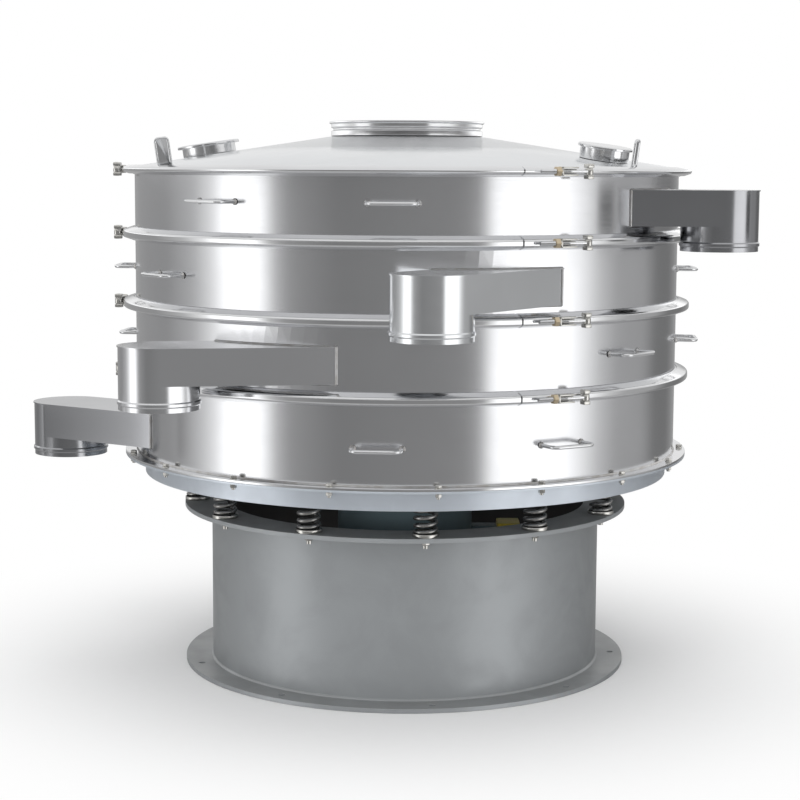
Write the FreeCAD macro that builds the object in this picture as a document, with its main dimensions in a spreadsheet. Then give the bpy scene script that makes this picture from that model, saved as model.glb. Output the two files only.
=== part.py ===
import FreeCAD, Part
import math
import os
import Sketcher

# A round vibrating screen with four stacked decks on a sprung base.
# Millimetres, +Z up. The origin is on the machine's axis at floor level.
# An azimuth is an angle about that axis: 0 is the front (-Y) and 90 is the right (+X).

SIZES = {
    # base pedestal
    "base_diameter": 1090,
    "base_wall": 6,
    "base_height": 452,
    "base_flange_width": 75,
    "base_flange_lap": 40,
    "base_flange_thickness": 12,
    "anchor_offset": 42,
    "anchor_hole": 18,
    "anchor_count": 9,
    "anchor_start": 7,
    # springs between the base and the vibrating frame
    "spring_count": 12,
    "spring_start": 5,
    "spring_offset": 40,
    "spring_outside": 64,
    "spring_wire": 11,
    "spring_turns": 7,
    "spring_height": 118,
    "seat_gap": 0.3,
    # painted vibrating frame
    "rim_rise": 30,
    "rim_drop": 28,
    "rim_inset": 21,
    "rim_wall": 6,
    "rim_flange_thickness": 6,
    "rim_flange_width": 29,
    "plate_thickness": 8,
    "dish_diameter": 960,
    "dish_drop": 40,
    # drive motor in its tube
    "tube_diameter": 380,
    "tube_wall": 8,
    "tube_above_dish": 12,
    "tube_length": 230,
    "motor_diameter": 290,
    "motor_length": 300,
    "motor_flange_thickness": 12,
    "weight_cover_diameter": 250,
    "weight_cover_height": 70,
    "weight_cover_bevel": 12,
    "terminal_box_width": 90,
    "terminal_box_depth": 64,
    "terminal_box_height": 60,
    "terminal_box_drop": 186,
    "terminal_neck_length": 72,
    "terminal_neck_width": 50,
    "terminal_neck_inset": 10,
    # screen frames
    "shell_diameter": 1500,
    "shell_wall": 3,
    "flange_width": 28,
    "bottom_flange_width": 33,
    "bottom_flange_thickness": 6,
    "bottom_frame_height": 220,
    "deck_pitch": 190,
    "top_frame_height": 173,
    "pan_lift": 12,
    "pan_rise": 60,
    "pan_thickness": 3,
    # screens and gasket
    "screen_ring_thickness": 8,
    "screen_ring_inset": 8,
    "screen_cloth": 1.5,
    "gasket_thickness": 3,
    "gasket_inset": 2,
    # clamp bands
    "band_reach": 7,
    "band_web": 17,
    "band_height": 36,
    "band_lip_gap": 7,
    "band_sheet": 2.5,
    "band_clearance": 0.4,
    "lid_band_web": 10,
    "lid_band_height": 24,
    "lid_band_lip_gap": 15,
    "band_split": 4,
    "band_split_azimuth": 21,
    # clamp bolts
    "clamp_count": 3,
    "clamp_azimuth": 28.7,
    "clamp_standoff": 13,
    "clamp_bolt": 12,
    "clamp_thread_end": 71,
    "clamp_pin_place": 68,
    "clamp_pin": 12,
    "clamp_pin_height": 38,
    "clamp_nut_place": 30,
    "clamp_nut_width": 22,
    "clamp_nut_height": 14,
    "clamp_eye": 9.6,
    "clamp_eye_height": 14,
    "clamp_saddle_length": 46,
    "clamp_bracket_width": 22,
    "clamp_bracket_sheet": 4,
    # lid
    "lid_sheet": 3,
    "lid_slope": 0.154,
    "inlet_bore": 400,
    "inlet_wall": 4,
    "inlet_rim_diameter": 430,
    "inlet_height": 40,
    "inlet_tail": 12,
    "inlet_bead": 6,
    "inlet_low_bead": 14,
    "inlet_bead_slope": 3,
    "inlet_groove": 4,
    "inlet_high_bead": 9,
    "inlet_flare": 2,
    "left_port_azimuth": -87,
    "left_port_inset": 233,
    "left_port_body": 146,
    "left_port_cap": 170,
    "left_port_height": 32,
    "right_port_azimuth": 56,
    "right_port_inset": 162,
    "right_port_body": 128,
    "right_port_cap": 142,
    "right_port_height": 38,
    "port_cap_thickness": 8,
    "port_cap_bevel": 2,
    "port_lift": 0.8,
    "left_lug_azimuth": -57,
    "left_lug_inset": 36,
    "left_lug_turn": 0,
    "right_lug_azimuth": 50,
    "right_lug_inset": 30,
    "right_lug_turn": 68,
    "lug_width": 33,
    "lug_height": 73,
    "lug_rod": 7,
    "lug_bend": 8,
    "lug_plate": 3,
    # outlets
    "outlet_width": 200,
    "outlet_sheet": 3,
    "duct_height": 92,
    "duct_rise": 35,
    "spout_drop": 65,
    "low_spout_drop": 54,
    "bead_rise": 18,
    "bead_height": 13,
    "bead_proud": 3,
    "duct_lip": 2.5,
    "window_inset": 4,
    "outlet_1_azimuth": 63.8,
    "outlet_1_standoff": 150,
    "outlet_1_skew": 25,
    "outlet_1_hand": -1,
    "outlet_2_azimuth": 3.6,
    "outlet_2_standoff": 169,
    "outlet_2_skew": 40,
    "outlet_2_hand": 1,
    "outlet_3_azimuth": -40.9,
    "outlet_3_standoff": 175,
    "outlet_3_skew": 40,
    "outlet_3_hand": 1,
    "outlet_4_azimuth": -88,
    "outlet_4_standoff": 191,
    "outlet_4_skew": 35,
    "outlet_4_hand": 1,
    # handles
    "handle_width": 122,
    "handle_reach": 62,
    "handle_rod": 10,
    "handle_bend": 18,
    "handle_rise": 95,
    "low_handle_rise": 100,
    "handle_pair_angle": 36.5,
    "handles_1_azimuth": -20.9,
    "handles_2_azimuth": -72.15,
    "handles_3_azimuth": 66.05,
    "handles_4_azimuth": 12.9,
}

document = FreeCAD.newDocument("vibrating_screen")
sheet = document.addObject("Spreadsheet::Sheet", "sizes")
for row, (alias, number) in enumerate(SIZES.items(), start=1):
    sheet.set(f"A{row}", alias)
    sheet.set(f"B{row}", str(number))
    sheet.setAlias(f"B{row}", alias)
document.recompute()

nodes = []


def size(alias):
    """Return the number that the sheet holds for one size."""
    return float(sheet.get(alias))


def half(alias):
    """Return the expression for half of one size."""
    return f"sizes.{alias} / 2"


# Heights above the floor, as expressions.
FLOOR = "0"
BASE_TOP = "sizes.base_height"
SPRING_TOP = "sizes.base_height + sizes.spring_height"
FRAME_TOP = f"{SPRING_TOP} + sizes.rim_rise"
RING_4 = f"{FRAME_TOP} + sizes.bottom_frame_height"
RING_3 = f"{RING_4} + sizes.deck_pitch"
RING_2 = f"{RING_3} + sizes.deck_pitch"
LID_RING = f"{RING_2} + sizes.top_frame_height"

# Radii, as expressions.
SHELL = half("shell_diameter")
SHELL_BORE = f"{SHELL} - sizes.shell_wall"
FLANGE_BORE = f"({SHELL} + sizes.seat_gap)"
FLANGE = f"({SHELL} + sizes.flange_width)"
BAND = f"({FLANGE} + sizes.band_reach)"


def new_body(name, height=FLOOR, turn=None):
    """Start a body at a height above the floor, turned about the machine's axis."""
    body = document.addObject("PartDesign::Body", name)
    body.Label = name
    body.Placement = FreeCAD.Placement(FreeCAD.Vector(), FreeCAD.Rotation(FreeCAD.Vector(0, 0, 1), 1))
    body.setExpression("Placement.Base.z", height)
    body.setExpression("Placement.Rotation.Angle", turn or "0")
    return body


def new_sketch(body, name, role, offset="0"):
    """Attach a sketch to one of the body's own planes, moved along that plane's normal."""
    sketch = body.newObject("Sketcher::SketchObject", name)
    plane = [part for part in body.Origin.OriginFeatures if part.Role == role][0]
    sketch.AttachmentSupport = [(plane, "")]
    sketch.MapMode = "FlatFace"
    sketch.setExpression("AttachmentOffset.Base.z", offset)
    return sketch


def pin_across(sketch, edge, end, distance):
    """Hold one end of an edge at a distance across from the sketch's origin."""
    place = sketch.getPoint(edge, end).x
    number = sketch.addConstraint(Sketcher.Constraint("DistanceX", -1, 1, edge, end, place))
    sketch.setExpression(f"Constraints[{number}]", distance)


def pin_along(sketch, edge, end, distance):
    """Hold one end of an edge at a distance up from the sketch's origin."""
    place = sketch.getPoint(edge, end).y
    number = sketch.addConstraint(Sketcher.Constraint("DistanceY", -1, 1, edge, end, place))
    sketch.setExpression(f"Constraints[{number}]", distance)


def pin_point(sketch, edge, end, across, along):
    """Hold one end of an edge at both distances."""
    pin_across(sketch, edge, end, across)
    pin_along(sketch, edge, end, along)


def fix_radius(sketch, edge, radius):
    """Give an arc or a circle its radius."""
    drawn = sketch.Geometry[edge].Radius
    number = sketch.addConstraint(Sketcher.Constraint("Radius", edge, drawn))
    sketch.setExpression(f"Constraints[{number}]", radius)


def polygon(body, name, role, corners, offset="0"):
    """Sketch a closed outline whose corners are pairs of expressions."""
    sketch = new_sketch(body, name, role, offset)
    count = len(corners)
    start = []
    for index in range(count):
        angle = 2 * math.pi * index / count
        start.append(FreeCAD.Vector(math.cos(angle), math.sin(angle), 0))
    for index in range(count):
        sketch.addGeometry(Part.LineSegment(start[index], start[(index + 1) % count]))
    for index in range(count):
        sketch.addConstraint(Sketcher.Constraint("Coincident", index, 2, (index + 1) % count, 1))
    for index, (across, along) in enumerate(corners):
        pin_point(sketch, index, 1, across, along)
    return sketch


def circles(body, name, role, rounds, offset="0"):
    """Sketch circles given as (across, along, radius) expressions."""
    sketch = new_sketch(body, name, role, offset)
    for index, (across, along, radius) in enumerate(rounds):
        circle = Part.Circle(FreeCAD.Vector(0, 0, 0), FreeCAD.Vector(0, 0, 1), 1)
        sketch.addGeometry(circle)
        pin_point(sketch, index, 3, across, along)
        fix_radius(sketch, index, radius)
    return sketch


def revolve(body, name, corners):
    """Turn an outline of (radius, height) corners about the body's upright axis."""
    sketch = polygon(body, f"{name}_profile", "XZ_Plane", corners)
    ring = body.newObject("PartDesign::Revolution", name)
    ring.Profile = sketch
    ring.ReferenceAxis = (sketch, ["V_Axis"])
    ring.Angle = 360
    return ring


def pad(body, sketch, name, length, both_ways=False, downwards=False):
    """Raise a sketch into a solid."""
    block = body.newObject("PartDesign::Pad", name)
    block.Profile = sketch
    block.setExpression("Length", length)
    block.Midplane = both_ways
    block.Reversed = downwards
    return block


def pocket(body, sketch, name, length, both_ways=False):
    """Cut a sketch into the solid, against the sketch's normal."""
    hole = body.newObject("PartDesign::Pocket", name)
    hole.Profile = sketch
    hole.setExpression("Length", length)
    hole.Midplane = both_ways
    return hole


def pattern(body, features, name, count):
    """Repeat features evenly round the body's upright axis."""
    axis = [part for part in body.Origin.OriginFeatures if part.Role == "Z_Axis"][0]
    turns = body.newObject("PartDesign::PolarPattern", name)
    turns.Originals = features
    turns.Axis = (axis, [""])
    turns.Angle = 360
    turns.setExpression("Occurrences", count)
    body.Tip = turns
    return turns


def keep(part):
    """Count an object as one of the sub-parts that are written out."""
    nodes.append(part)


def revolved_node(name, height, corners):
    """Make a sub-part that is one turned ring, shell or disc."""
    body = new_body(name, height)
    revolve(body, f"{name}_turned", corners)
    keep(body)
    return body


def band_underside(radius, web, tall, lip):
    """Height of a clamp band's inner face above its middle, at a radius."""
    slope = f"((sizes.{tall} - sizes.{web}) / 2 / ({BAND} - {SHELL} - sizes.{lip}))"
    outside = f"sizes.{web} / 2 + {slope} * ({BAND} - ({radius}))"
    return f"({outside} - sizes.band_sheet * sqrt(1 + {slope} * {slope}))"


def deck_wedge(radius):
    """Height of a deck flange's sloping back from the ring's middle."""
    return f"({band_underside(radius, 'band_web', 'band_height', 'band_lip_gap')} - sizes.band_clearance)"


def lid_wedge(radius):
    """Height of the top flange's sloping back from the lid ring's middle."""
    face = band_underside(radius, "lid_band_web", "lid_band_height", "lid_band_lip_gap")
    return f"({face} - sizes.band_clearance)"


# Base pedestal: a rolled shell between two drilled flanges.
def make_base():
    outside = half("base_diameter")
    inside = f"{outside} - sizes.base_wall"
    flange = f"{outside} + sizes.base_flange_width"
    bore = f"{outside} - sizes.base_flange_lap"
    thick = "sizes.base_flange_thickness"
    shell_end = f"{BASE_TOP} - {thick}"
    revolved_node("base_shell", FLOOR, [
        (inside, thick), (outside, thick), (outside, shell_end), (inside, shell_end)])
    foot = new_body("base_bottom_flange", FLOOR, "sizes.anchor_start")
    revolve(foot, "foot_ring", [(bore, "0"), (flange, "0"), (flange, thick), (bore, thick)])
    anchor = circles(foot, "anchor", "XY_Plane",
                     [("0", f"0 - {outside} - sizes.anchor_offset", half("anchor_hole"))], thick)
    drilled = pocket(foot, anchor, "anchor_hole", thick)
    pattern(foot, [drilled], "anchor_holes", "sizes.anchor_count")
    keep(foot)
    revolved_node("base_top_flange", shell_end, [
        (bore, "0"), (flange, "0"), (flange, thick), (bore, thick)])


# Springs: round wire coiled between the top flange and the vibrating frame.
def make_springs():
    wire = size("spring_wire") / 2
    coil = size("spring_outside") / 2 - wire
    steps_a_turn = 8
    bottom = size("base_height") + size("seat_gap") + wire
    climb = size("spring_height") - 2 * size("seat_gap") - 2 * wire
    steps = round(size("spring_turns") * steps_a_turn)
    line = []
    for step in range(steps + 1):
        angle = 2 * math.pi * step / steps_a_turn
        line.append(FreeCAD.Vector(coil * math.cos(angle), coil * math.sin(angle), climb * step / steps))
    path = Part.makePolygon(line)
    round_wire = Part.Wire([Part.makeCircle(wire, line[0], line[1] - line[0])])
    right_corners = 1
    one = path.makePipeShell([round_wire], True, False, right_corners)
    coils = []
    for number in range(round(size("spring_count"))):
        azimuth = size("spring_start") + 360 * number / size("spring_count")
        place = FreeCAD.Vector(0, -size("base_diameter") / 2 - size("spring_offset"), bottom)
        spring = one.copy()
        spring.translate(place)
        spring.rotate(FreeCAD.Vector(), FreeCAD.Vector(0, 0, 1), azimuth)
        coils.append(spring)
    springs = document.addObject("Part::Feature", "springs")
    springs.Label = "springs"
    springs.Shape = Part.makeCompound(coils)
    keep(springs)


# Painted vibrating frame: flange, rim and a dished plate that carries the motor.
def make_vibrating_frame():
    rim = f"{SHELL} - sizes.rim_inset"
    rim_bore = f"{rim} - sizes.rim_wall"
    edge = f"{SHELL} + sizes.bottom_flange_width"
    bore = f"{rim} - sizes.rim_flange_width"
    under_flange = "0 - sizes.rim_flange_thickness"
    seat = "0 - sizes.rim_rise"
    plate_top = f"{seat} + sizes.plate_thickness"
    rim_bottom = f"{seat} - sizes.rim_drop"
    dish = half("dish_diameter")
    hub = f"{half('tube_diameter')} + sizes.seat_gap"
    hub_under = f"{seat} - sizes.dish_drop"
    revolved_node("vibrating_frame", FRAME_TOP, [
        (bore, "0"), (edge, "0"), (edge, under_flange), (rim, under_flange),
        (rim, rim_bottom), (rim_bore, rim_bottom), (rim_bore, seat), (dish, seat),
        (hub, hub_under), (hub, f"{hub_under} + sizes.plate_thickness"),
        (dish, plate_top), (rim_bore, plate_top), (rim_bore, under_flange), (bore, under_flange)])


# Drive motor hung in a tube below the dish, with its terminal box outside.
def make_drive():
    outside = half("tube_diameter")
    inside = f"{outside} - sizes.tube_wall"
    tube_top = f"{SPRING_TOP} - sizes.dish_drop + sizes.plate_thickness + sizes.tube_above_dish"
    tube_bottom = f"{tube_top} - sizes.tube_length"
    revolved_node("motor_tube", tube_bottom, [
        (inside, "0"), (outside, "0"), (outside, "sizes.tube_length"), (inside, "sizes.tube_length")])
    flange = "0 - sizes.motor_flange_thickness"
    body = half("motor_diameter")
    cover = half("weight_cover_diameter")
    above = "sizes.motor_length / 2"
    below = "0 - sizes.motor_length / 2"
    revolved_node("drive_motor", tube_bottom, [
        ("0", below), (body, below), (body, flange), (outside, flange), (outside, "0"),
        (body, "0"), (body, above), ("0", above)])
    revolved_node("lower_weight_cover", f"{tube_bottom} - sizes.motor_length / 2", [
        ("0", "0"), (cover, "0"), (cover, "sizes.weight_cover_bevel - sizes.weight_cover_height"),
        (f"{cover} - sizes.weight_cover_bevel", "0 - sizes.weight_cover_height"),
        ("0", "0 - sizes.weight_cover_height")])
    box = new_body("motor_terminal_box", f"{SPRING_TOP} - sizes.terminal_box_drop")
    near = f"{outside} * cos(asin(sizes.terminal_neck_width / sizes.tube_diameter)) - sizes.seat_gap"
    shoulder = f"{outside} + sizes.terminal_neck_length"
    slim = half("terminal_neck_width")
    neck = polygon(box, "neck_plan", "XY_Plane", [
        (near, f"0 - {slim}"), (shoulder, f"0 - {slim}"), (shoulder, slim), (near, slim)],
        "0 - sizes.terminal_neck_inset")
    pad(box, neck, "neck_block", "sizes.terminal_box_height - 2 * sizes.terminal_neck_inset", downwards=True)
    far = f"{shoulder} + sizes.terminal_box_depth"
    wide = half("terminal_box_width")
    outline = polygon(box, "box_plan", "XY_Plane", [
        (shoulder, f"0 - {wide}"), (far, f"0 - {wide}"), (far, wide), (shoulder, wide)])
    pad(box, outline, "box_block", "sizes.terminal_box_height", downwards=True)
    tube_cut = circles(box, "tube_round", "XY_Plane", [("0", "0", f"{outside} + sizes.seat_gap")])
    pocket(box, tube_cut, "tube_hollow", "sizes.terminal_box_height")
    keep(box)


def duct_direction(number):
    """Heading of an outlet duct from its spout towards the shell."""
    return f"(90 + sizes.outlet_{number}_azimuth - sizes.outlet_{number}_hand * sizes.outlet_{number}_skew)"


def outlet_reach(number):
    """Distance of an outlet's spout from the machine's axis."""
    return f"({SHELL} + sizes.outlet_{number}_standoff)"


def duct_point(number, along, aside):
    """Place of a point of an outlet's plan, in the machine's own axes."""
    heading = duct_direction(number)
    azimuth = f"sizes.outlet_{number}_azimuth"
    reach = outlet_reach(number)
    across = f"{reach} * sin({azimuth}) + ({along}) * cos({heading}) - ({aside}) * sin({heading})"
    deep = f"({along}) * sin({heading}) + ({aside}) * cos({heading}) - {reach} * cos({azimuth})"
    return across, deep


# Deck frames: rolled shells, each with a window for its outlet.
def make_frame(number, height, foot, head):
    body = new_body(f"frame_{number}", height)
    revolve(body, f"frame_{number}_shell", [
        (SHELL_BORE, foot), (SHELL, foot), (SHELL, head), (SHELL_BORE, head)])
    sheet_wall = "sizes.outlet_sheet"
    window_bottom = f"sizes.duct_rise + {sheet_wall}"
    window_top = f"sizes.duct_rise + sizes.duct_height - {sheet_wall}"
    aside = f"{half('outlet_width')} - {sheet_wall} - sizes.window_inset"
    near = half("outlet_width")
    far = f"{outlet_reach(number)} / 2"
    corners = [
        duct_point(number, near, f"0 - ({aside})"), duct_point(number, far, f"0 - ({aside})"),
        duct_point(number, far, aside), duct_point(number, near, aside)]
    outline = polygon(body, f"window_{number}_plan", "XY_Plane", corners, window_top)
    pocket(body, outline, f"window_{number}", f"{window_top} - ({window_bottom})")
    keep(body)


# Ring flanges: sloping rings round the shells' ends, which the clamp bands draw together.
def make_ring_flanges(number, height, wedge, gap, upper=True):
    body = new_body(f"ring_flanges_{number}", height)
    body.AllowCompound = True
    revolve(body, f"ring_{number}_lower", [
        (FLANGE_BORE, f"0 - {wedge(SHELL)}"), (FLANGE, f"0 - {wedge(FLANGE)}"),
        (FLANGE, f"0 - {gap}"), (FLANGE_BORE, f"0 - {gap}")])
    if upper:
        revolve(body, f"ring_{number}_upper", [
            (FLANGE_BORE, gap), (FLANGE, gap), (FLANGE, wedge(FLANGE)), (FLANGE_BORE, wedge(SHELL))])
    keep(body)


def make_frames():
    half_ring = half("screen_ring_thickness")
    half_gasket = half("gasket_thickness")
    deck_head = f"sizes.deck_pitch - {half_ring}"
    make_frame(1, RING_2, half_ring, f"sizes.top_frame_height - {half_gasket}")
    make_frame(2, RING_3, half_ring, deck_head)
    make_frame(3, RING_4, half_ring, deck_head)
    make_frame(4, FRAME_TOP, "0", f"sizes.bottom_frame_height - {half_ring}")
    make_ring_flanges(1, LID_RING, lid_wedge, half_gasket, upper=False)
    make_ring_flanges(2, RING_2, deck_wedge, half_ring)
    make_ring_flanges(3, RING_3, deck_wedge, half_ring)
    make_ring_flanges(4, RING_4, deck_wedge, half_ring)
    wide = f"{SHELL} + sizes.bottom_flange_width"
    thick = "sizes.bottom_flange_thickness"
    revolved_node("bottom_flange", FRAME_TOP, [
        (FLANGE_BORE, "0"), (wide, "0"), (wide, thick), (FLANGE_BORE, thick)])
    edge = f"{SHELL_BORE} - sizes.seat_gap"
    revolved_node("bottom_pan", f"{FRAME_TOP} + sizes.pan_lift", [
        ("0", "sizes.pan_rise"), (edge, "0"), (edge, "sizes.pan_thickness"),
        ("0", "sizes.pan_rise + sizes.pan_thickness")])


# Screens: a ring that is clamped between two frames, with woven cloth across it.
def make_screens():
    thick = half("screen_ring_thickness")
    cloth = half("screen_cloth")
    bore = f"{SHELL} - sizes.screen_ring_inset"
    for name, height in (("screen_upper", RING_2), ("screen_middle", RING_3), ("screen_lower", RING_4)):
        revolved_node(name, height, [
            ("0", f"0 - {cloth}"), (bore, f"0 - {cloth}"), (bore, f"0 - {thick}"),
            (FLANGE, f"0 - {thick}"), (FLANGE, thick), (bore, thick), (bore, cloth), ("0", cloth)])
    seal = half("gasket_thickness")
    seal_bore = f"{SHELL} - sizes.gasket_inset"
    revolved_node("lid_gasket", LID_RING, [
        (seal_bore, f"0 - {seal}"), (FLANGE, f"0 - {seal}"), (FLANGE, seal), (seal_bore, seal)])


# Clamp bands: folded channels in three lengths, drawn over the sloping flanges.
def make_band(number, height, web, tall, lip):
    body = new_body(f"clamp_band_{number}", height, "sizes.band_split_azimuth")
    body.AllowCompound = True
    tip = f"({SHELL} + sizes.{lip})"
    bend = f"{BAND} - sizes.band_sheet"
    tip_under = band_underside(tip, web, tall, lip)
    bend_under = band_underside(bend, web, tall, lip)
    revolve(body, f"band_{number}_channel", [
        (tip, half(tall)), (tip, tip_under), (bend, bend_under), (bend, f"0 - {bend_under}"),
        (tip, f"0 - {tip_under}"), (tip, f"0 - {half(tall)}"),
        (BAND, f"0 - {half(web)}"), (BAND, half(web))])
    side = half("band_split")
    outside = f"0 - {BAND} - sizes.clamp_standoff"
    split = polygon(body, f"band_{number}_split_plan", "XY_Plane", [
        (f"0 - {side}", outside), (side, outside), (side, f"0 - {SHELL}"),
        (f"0 - {side}", f"0 - {SHELL}")], half(tall))
    cut = pocket(body, split, f"band_{number}_split", f"sizes.{tall}")
    pattern(body, [cut], f"band_{number}_splits", "sizes.clamp_count")
    keep(body)


# Clamp bolts: a swinging bolt on a pin, drawn through a saddle by its nut.
def make_clamp_bolts(number, height):
    body = new_body(f"clamp_bolts_{number}", height, "sizes.clamp_azimuth")
    body.AllowCompound = True
    line = f"0 - ({BAND} + sizes.clamp_standoff)"
    face = f"0 - ({BAND} - sizes.clamp_standoff)"
    sheet_wall = "sizes.clamp_bracket_sheet"
    front = f"{line} - {half('clamp_bracket_width')}"
    shank = circles(body, f"shank_{number}_round", "YZ_Plane",
                    [(line, "0", half("clamp_bolt"))], "0 - sizes.clamp_thread_end")
    bolt = pad(body, shank, f"shank_{number}", "sizes.clamp_thread_end + sizes.clamp_pin_place")
    pin_round = circles(body, f"pin_{number}_round", "XY_Plane",
                        [("sizes.clamp_pin_place", line, half("clamp_pin"))])
    pin = pad(body, pin_round, f"pin_{number}", "sizes.clamp_pin_height", both_ways=True)
    eye_round = circles(body, f"eye_{number}_round", "XY_Plane",
                        [("sizes.clamp_pin_place", line, "sizes.clamp_eye")])
    eye = pad(body, eye_round, f"eye_{number}", "sizes.clamp_eye_height", both_ways=True)
    flats = []
    for corner in range(6):
        angle = 60 * corner
        flats.append((
            f"{line} + sizes.clamp_nut_width / sqrt(3) * cos({angle})",
            f"sizes.clamp_nut_width / sqrt(3) * sin({angle})"))
    nut_sides = polygon(body, f"nut_{number}_sides", "YZ_Plane", flats, "0 - sizes.clamp_nut_place")
    nut = pad(body, nut_sides, f"nut_{number}", "sizes.clamp_nut_height")
    saddle_start = "sizes.clamp_nut_height - sizes.clamp_nut_place"
    saddle_end = f"{saddle_start} + sizes.clamp_saddle_length"
    plate = polygon(body, f"saddle_{number}_plate_side", "XZ_Plane", [
        (saddle_start, f"0 - {half('clamp_bracket_width')}"),
        (f"{saddle_start} + {sheet_wall}", f"0 - {half('clamp_bracket_width')}"),
        (f"{saddle_start} + {sheet_wall}", half("clamp_bracket_width")),
        (saddle_start, half("clamp_bracket_width"))], f"0 - ({face})")
    cross = pad(body, plate, f"saddle_{number}_plate", f"({face}) - ({front})")
    features = [bolt, pin, eye, nut, cross]
    stations = (("saddle", saddle_start, saddle_end),
                ("fork", f"sizes.clamp_pin_place - {half('clamp_bracket_width')}",
                 f"sizes.clamp_pin_place + {half('clamp_bracket_width')}"))
    for station, start, end in stations:
        for side, low in (("upper", f"{half('clamp_bracket_width')} - {sheet_wall}"),
                          ("lower", f"0 - {half('clamp_bracket_width')}")):
            plan = polygon(body, f"{station}_{number}_{side}_plan", "XY_Plane", [
                (start, front), (end, front), (end, face), (start, face)], low)
            features.append(pad(body, plan, f"{station}_{number}_{side}", sheet_wall))
    pattern(body, features, f"clamp_{number}_sets", "sizes.clamp_count")
    clear = circles(body, f"clamp_{number}_band_round", "XY_Plane",
                    [("0", "0", f"{BAND} + sizes.seat_gap")])
    pocket(body, clear, f"clamp_{number}_band_hollow", "sizes.clamp_pin_height * 2", both_ways=True)
    keep(body)


# Lid: a shallow cone with the inlet collar, two covered ports and two lifting lugs.
LID_EDGE_TOP = "sizes.gasket_thickness / 2 + sizes.lid_sheet"
INLET_TUBE = "sizes.inlet_bore / 2 + sizes.inlet_wall"


def lid_surface(radius):
    """Height of the lid's outer face above the lid ring's middle, at a radius."""
    return f"({LID_EDGE_TOP} + sizes.lid_slope * ({FLANGE} - ({radius})))"


def make_lid():
    hole = f"{INLET_TUBE} + sizes.seat_gap"
    revolved_node("lid_cone", LID_RING, [
        (FLANGE, half("gasket_thickness")), (FLANGE, LID_EDGE_TOP),
        (hole, lid_surface(hole)), (hole, f"{lid_surface(hole)} - sizes.lid_sheet")])
    bore = half("inlet_bore")
    rim = half("inlet_rim_diameter")
    seat = "sizes.seat_gap"
    bead = f"{INLET_TUBE} + sizes.inlet_bead"
    groove = "sizes.inlet_low_bead + sizes.inlet_bead_slope"
    groove_end = f"{groove} + sizes.inlet_groove"
    high_bead = f"{groove_end} + sizes.inlet_bead_slope"
    neck = f"{high_bead} + sizes.inlet_high_bead"
    revolved_node("inlet_collar", f"{LID_RING} + {lid_surface(hole)}", [
        (bore, "0 - sizes.inlet_tail"), (INLET_TUBE, "0 - sizes.inlet_tail"), (INLET_TUBE, seat),
        (bead, seat), (bead, "sizes.inlet_low_bead"), (INLET_TUBE, groove),
        (INLET_TUBE, groove_end), (bead, high_bead), (bead, neck),
        (rim, f"{neck} + sizes.inlet_flare"), (rim, "sizes.inlet_height"), (bore, "sizes.inlet_height")])


def tilted_body(name, place, turn="0"):
    """Start a body on the lid's slope, upright to the lid's surface and turned about its own axis."""
    body = document.addObject("PartDesign::Body", name)
    body.Label = name
    body.Placement = FreeCAD.Placement(FreeCAD.Vector(), FreeCAD.Rotation(FreeCAD.Vector(0, 1, 0), 1))
    radius = f"({FLANGE} - sizes.{place}_inset)"
    azimuth = f"sizes.{place}_azimuth"
    body.setExpression("Placement.Base.x", f"{radius} * sin({azimuth})")
    body.setExpression("Placement.Base.y", f"0 - {radius} * cos({azimuth})")
    body.setExpression("Placement.Base.z", f"{LID_RING} + {lid_surface(radius)}")
    tilt = "atan(sizes.lid_slope) / 2"
    body.setExpression("Placement.Rotation.Axis.x", f"sin({tilt}) * cos({azimuth} - {turn} / 2)")
    body.setExpression("Placement.Rotation.Axis.y", f"sin({tilt}) * sin({azimuth} - {turn} / 2)")
    body.setExpression("Placement.Rotation.Axis.z", f"cos({tilt}) * sin({turn} / 2)")
    body.setExpression("Placement.Rotation.Angle", f"2 * acos(cos({tilt}) * cos({turn} / 2))")
    return body


def make_port(name, prefix):
    body = tilted_body(name, prefix)
    neck = half(f"{prefix}_body")
    cap = half(f"{prefix}_cap")
    tall = f"sizes.{prefix}_height"
    under = f"{tall} - sizes.port_cap_thickness"
    bevel = "sizes.port_cap_bevel"
    revolve(body, f"{name}_turned", [
        ("0", "sizes.port_lift"), (neck, "sizes.port_lift"), (neck, under), (cap, under),
        (cap, f"{tall} - {bevel}"), (f"{cap} - {bevel}", tall), ("0", tall)])
    keep(body)


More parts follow.
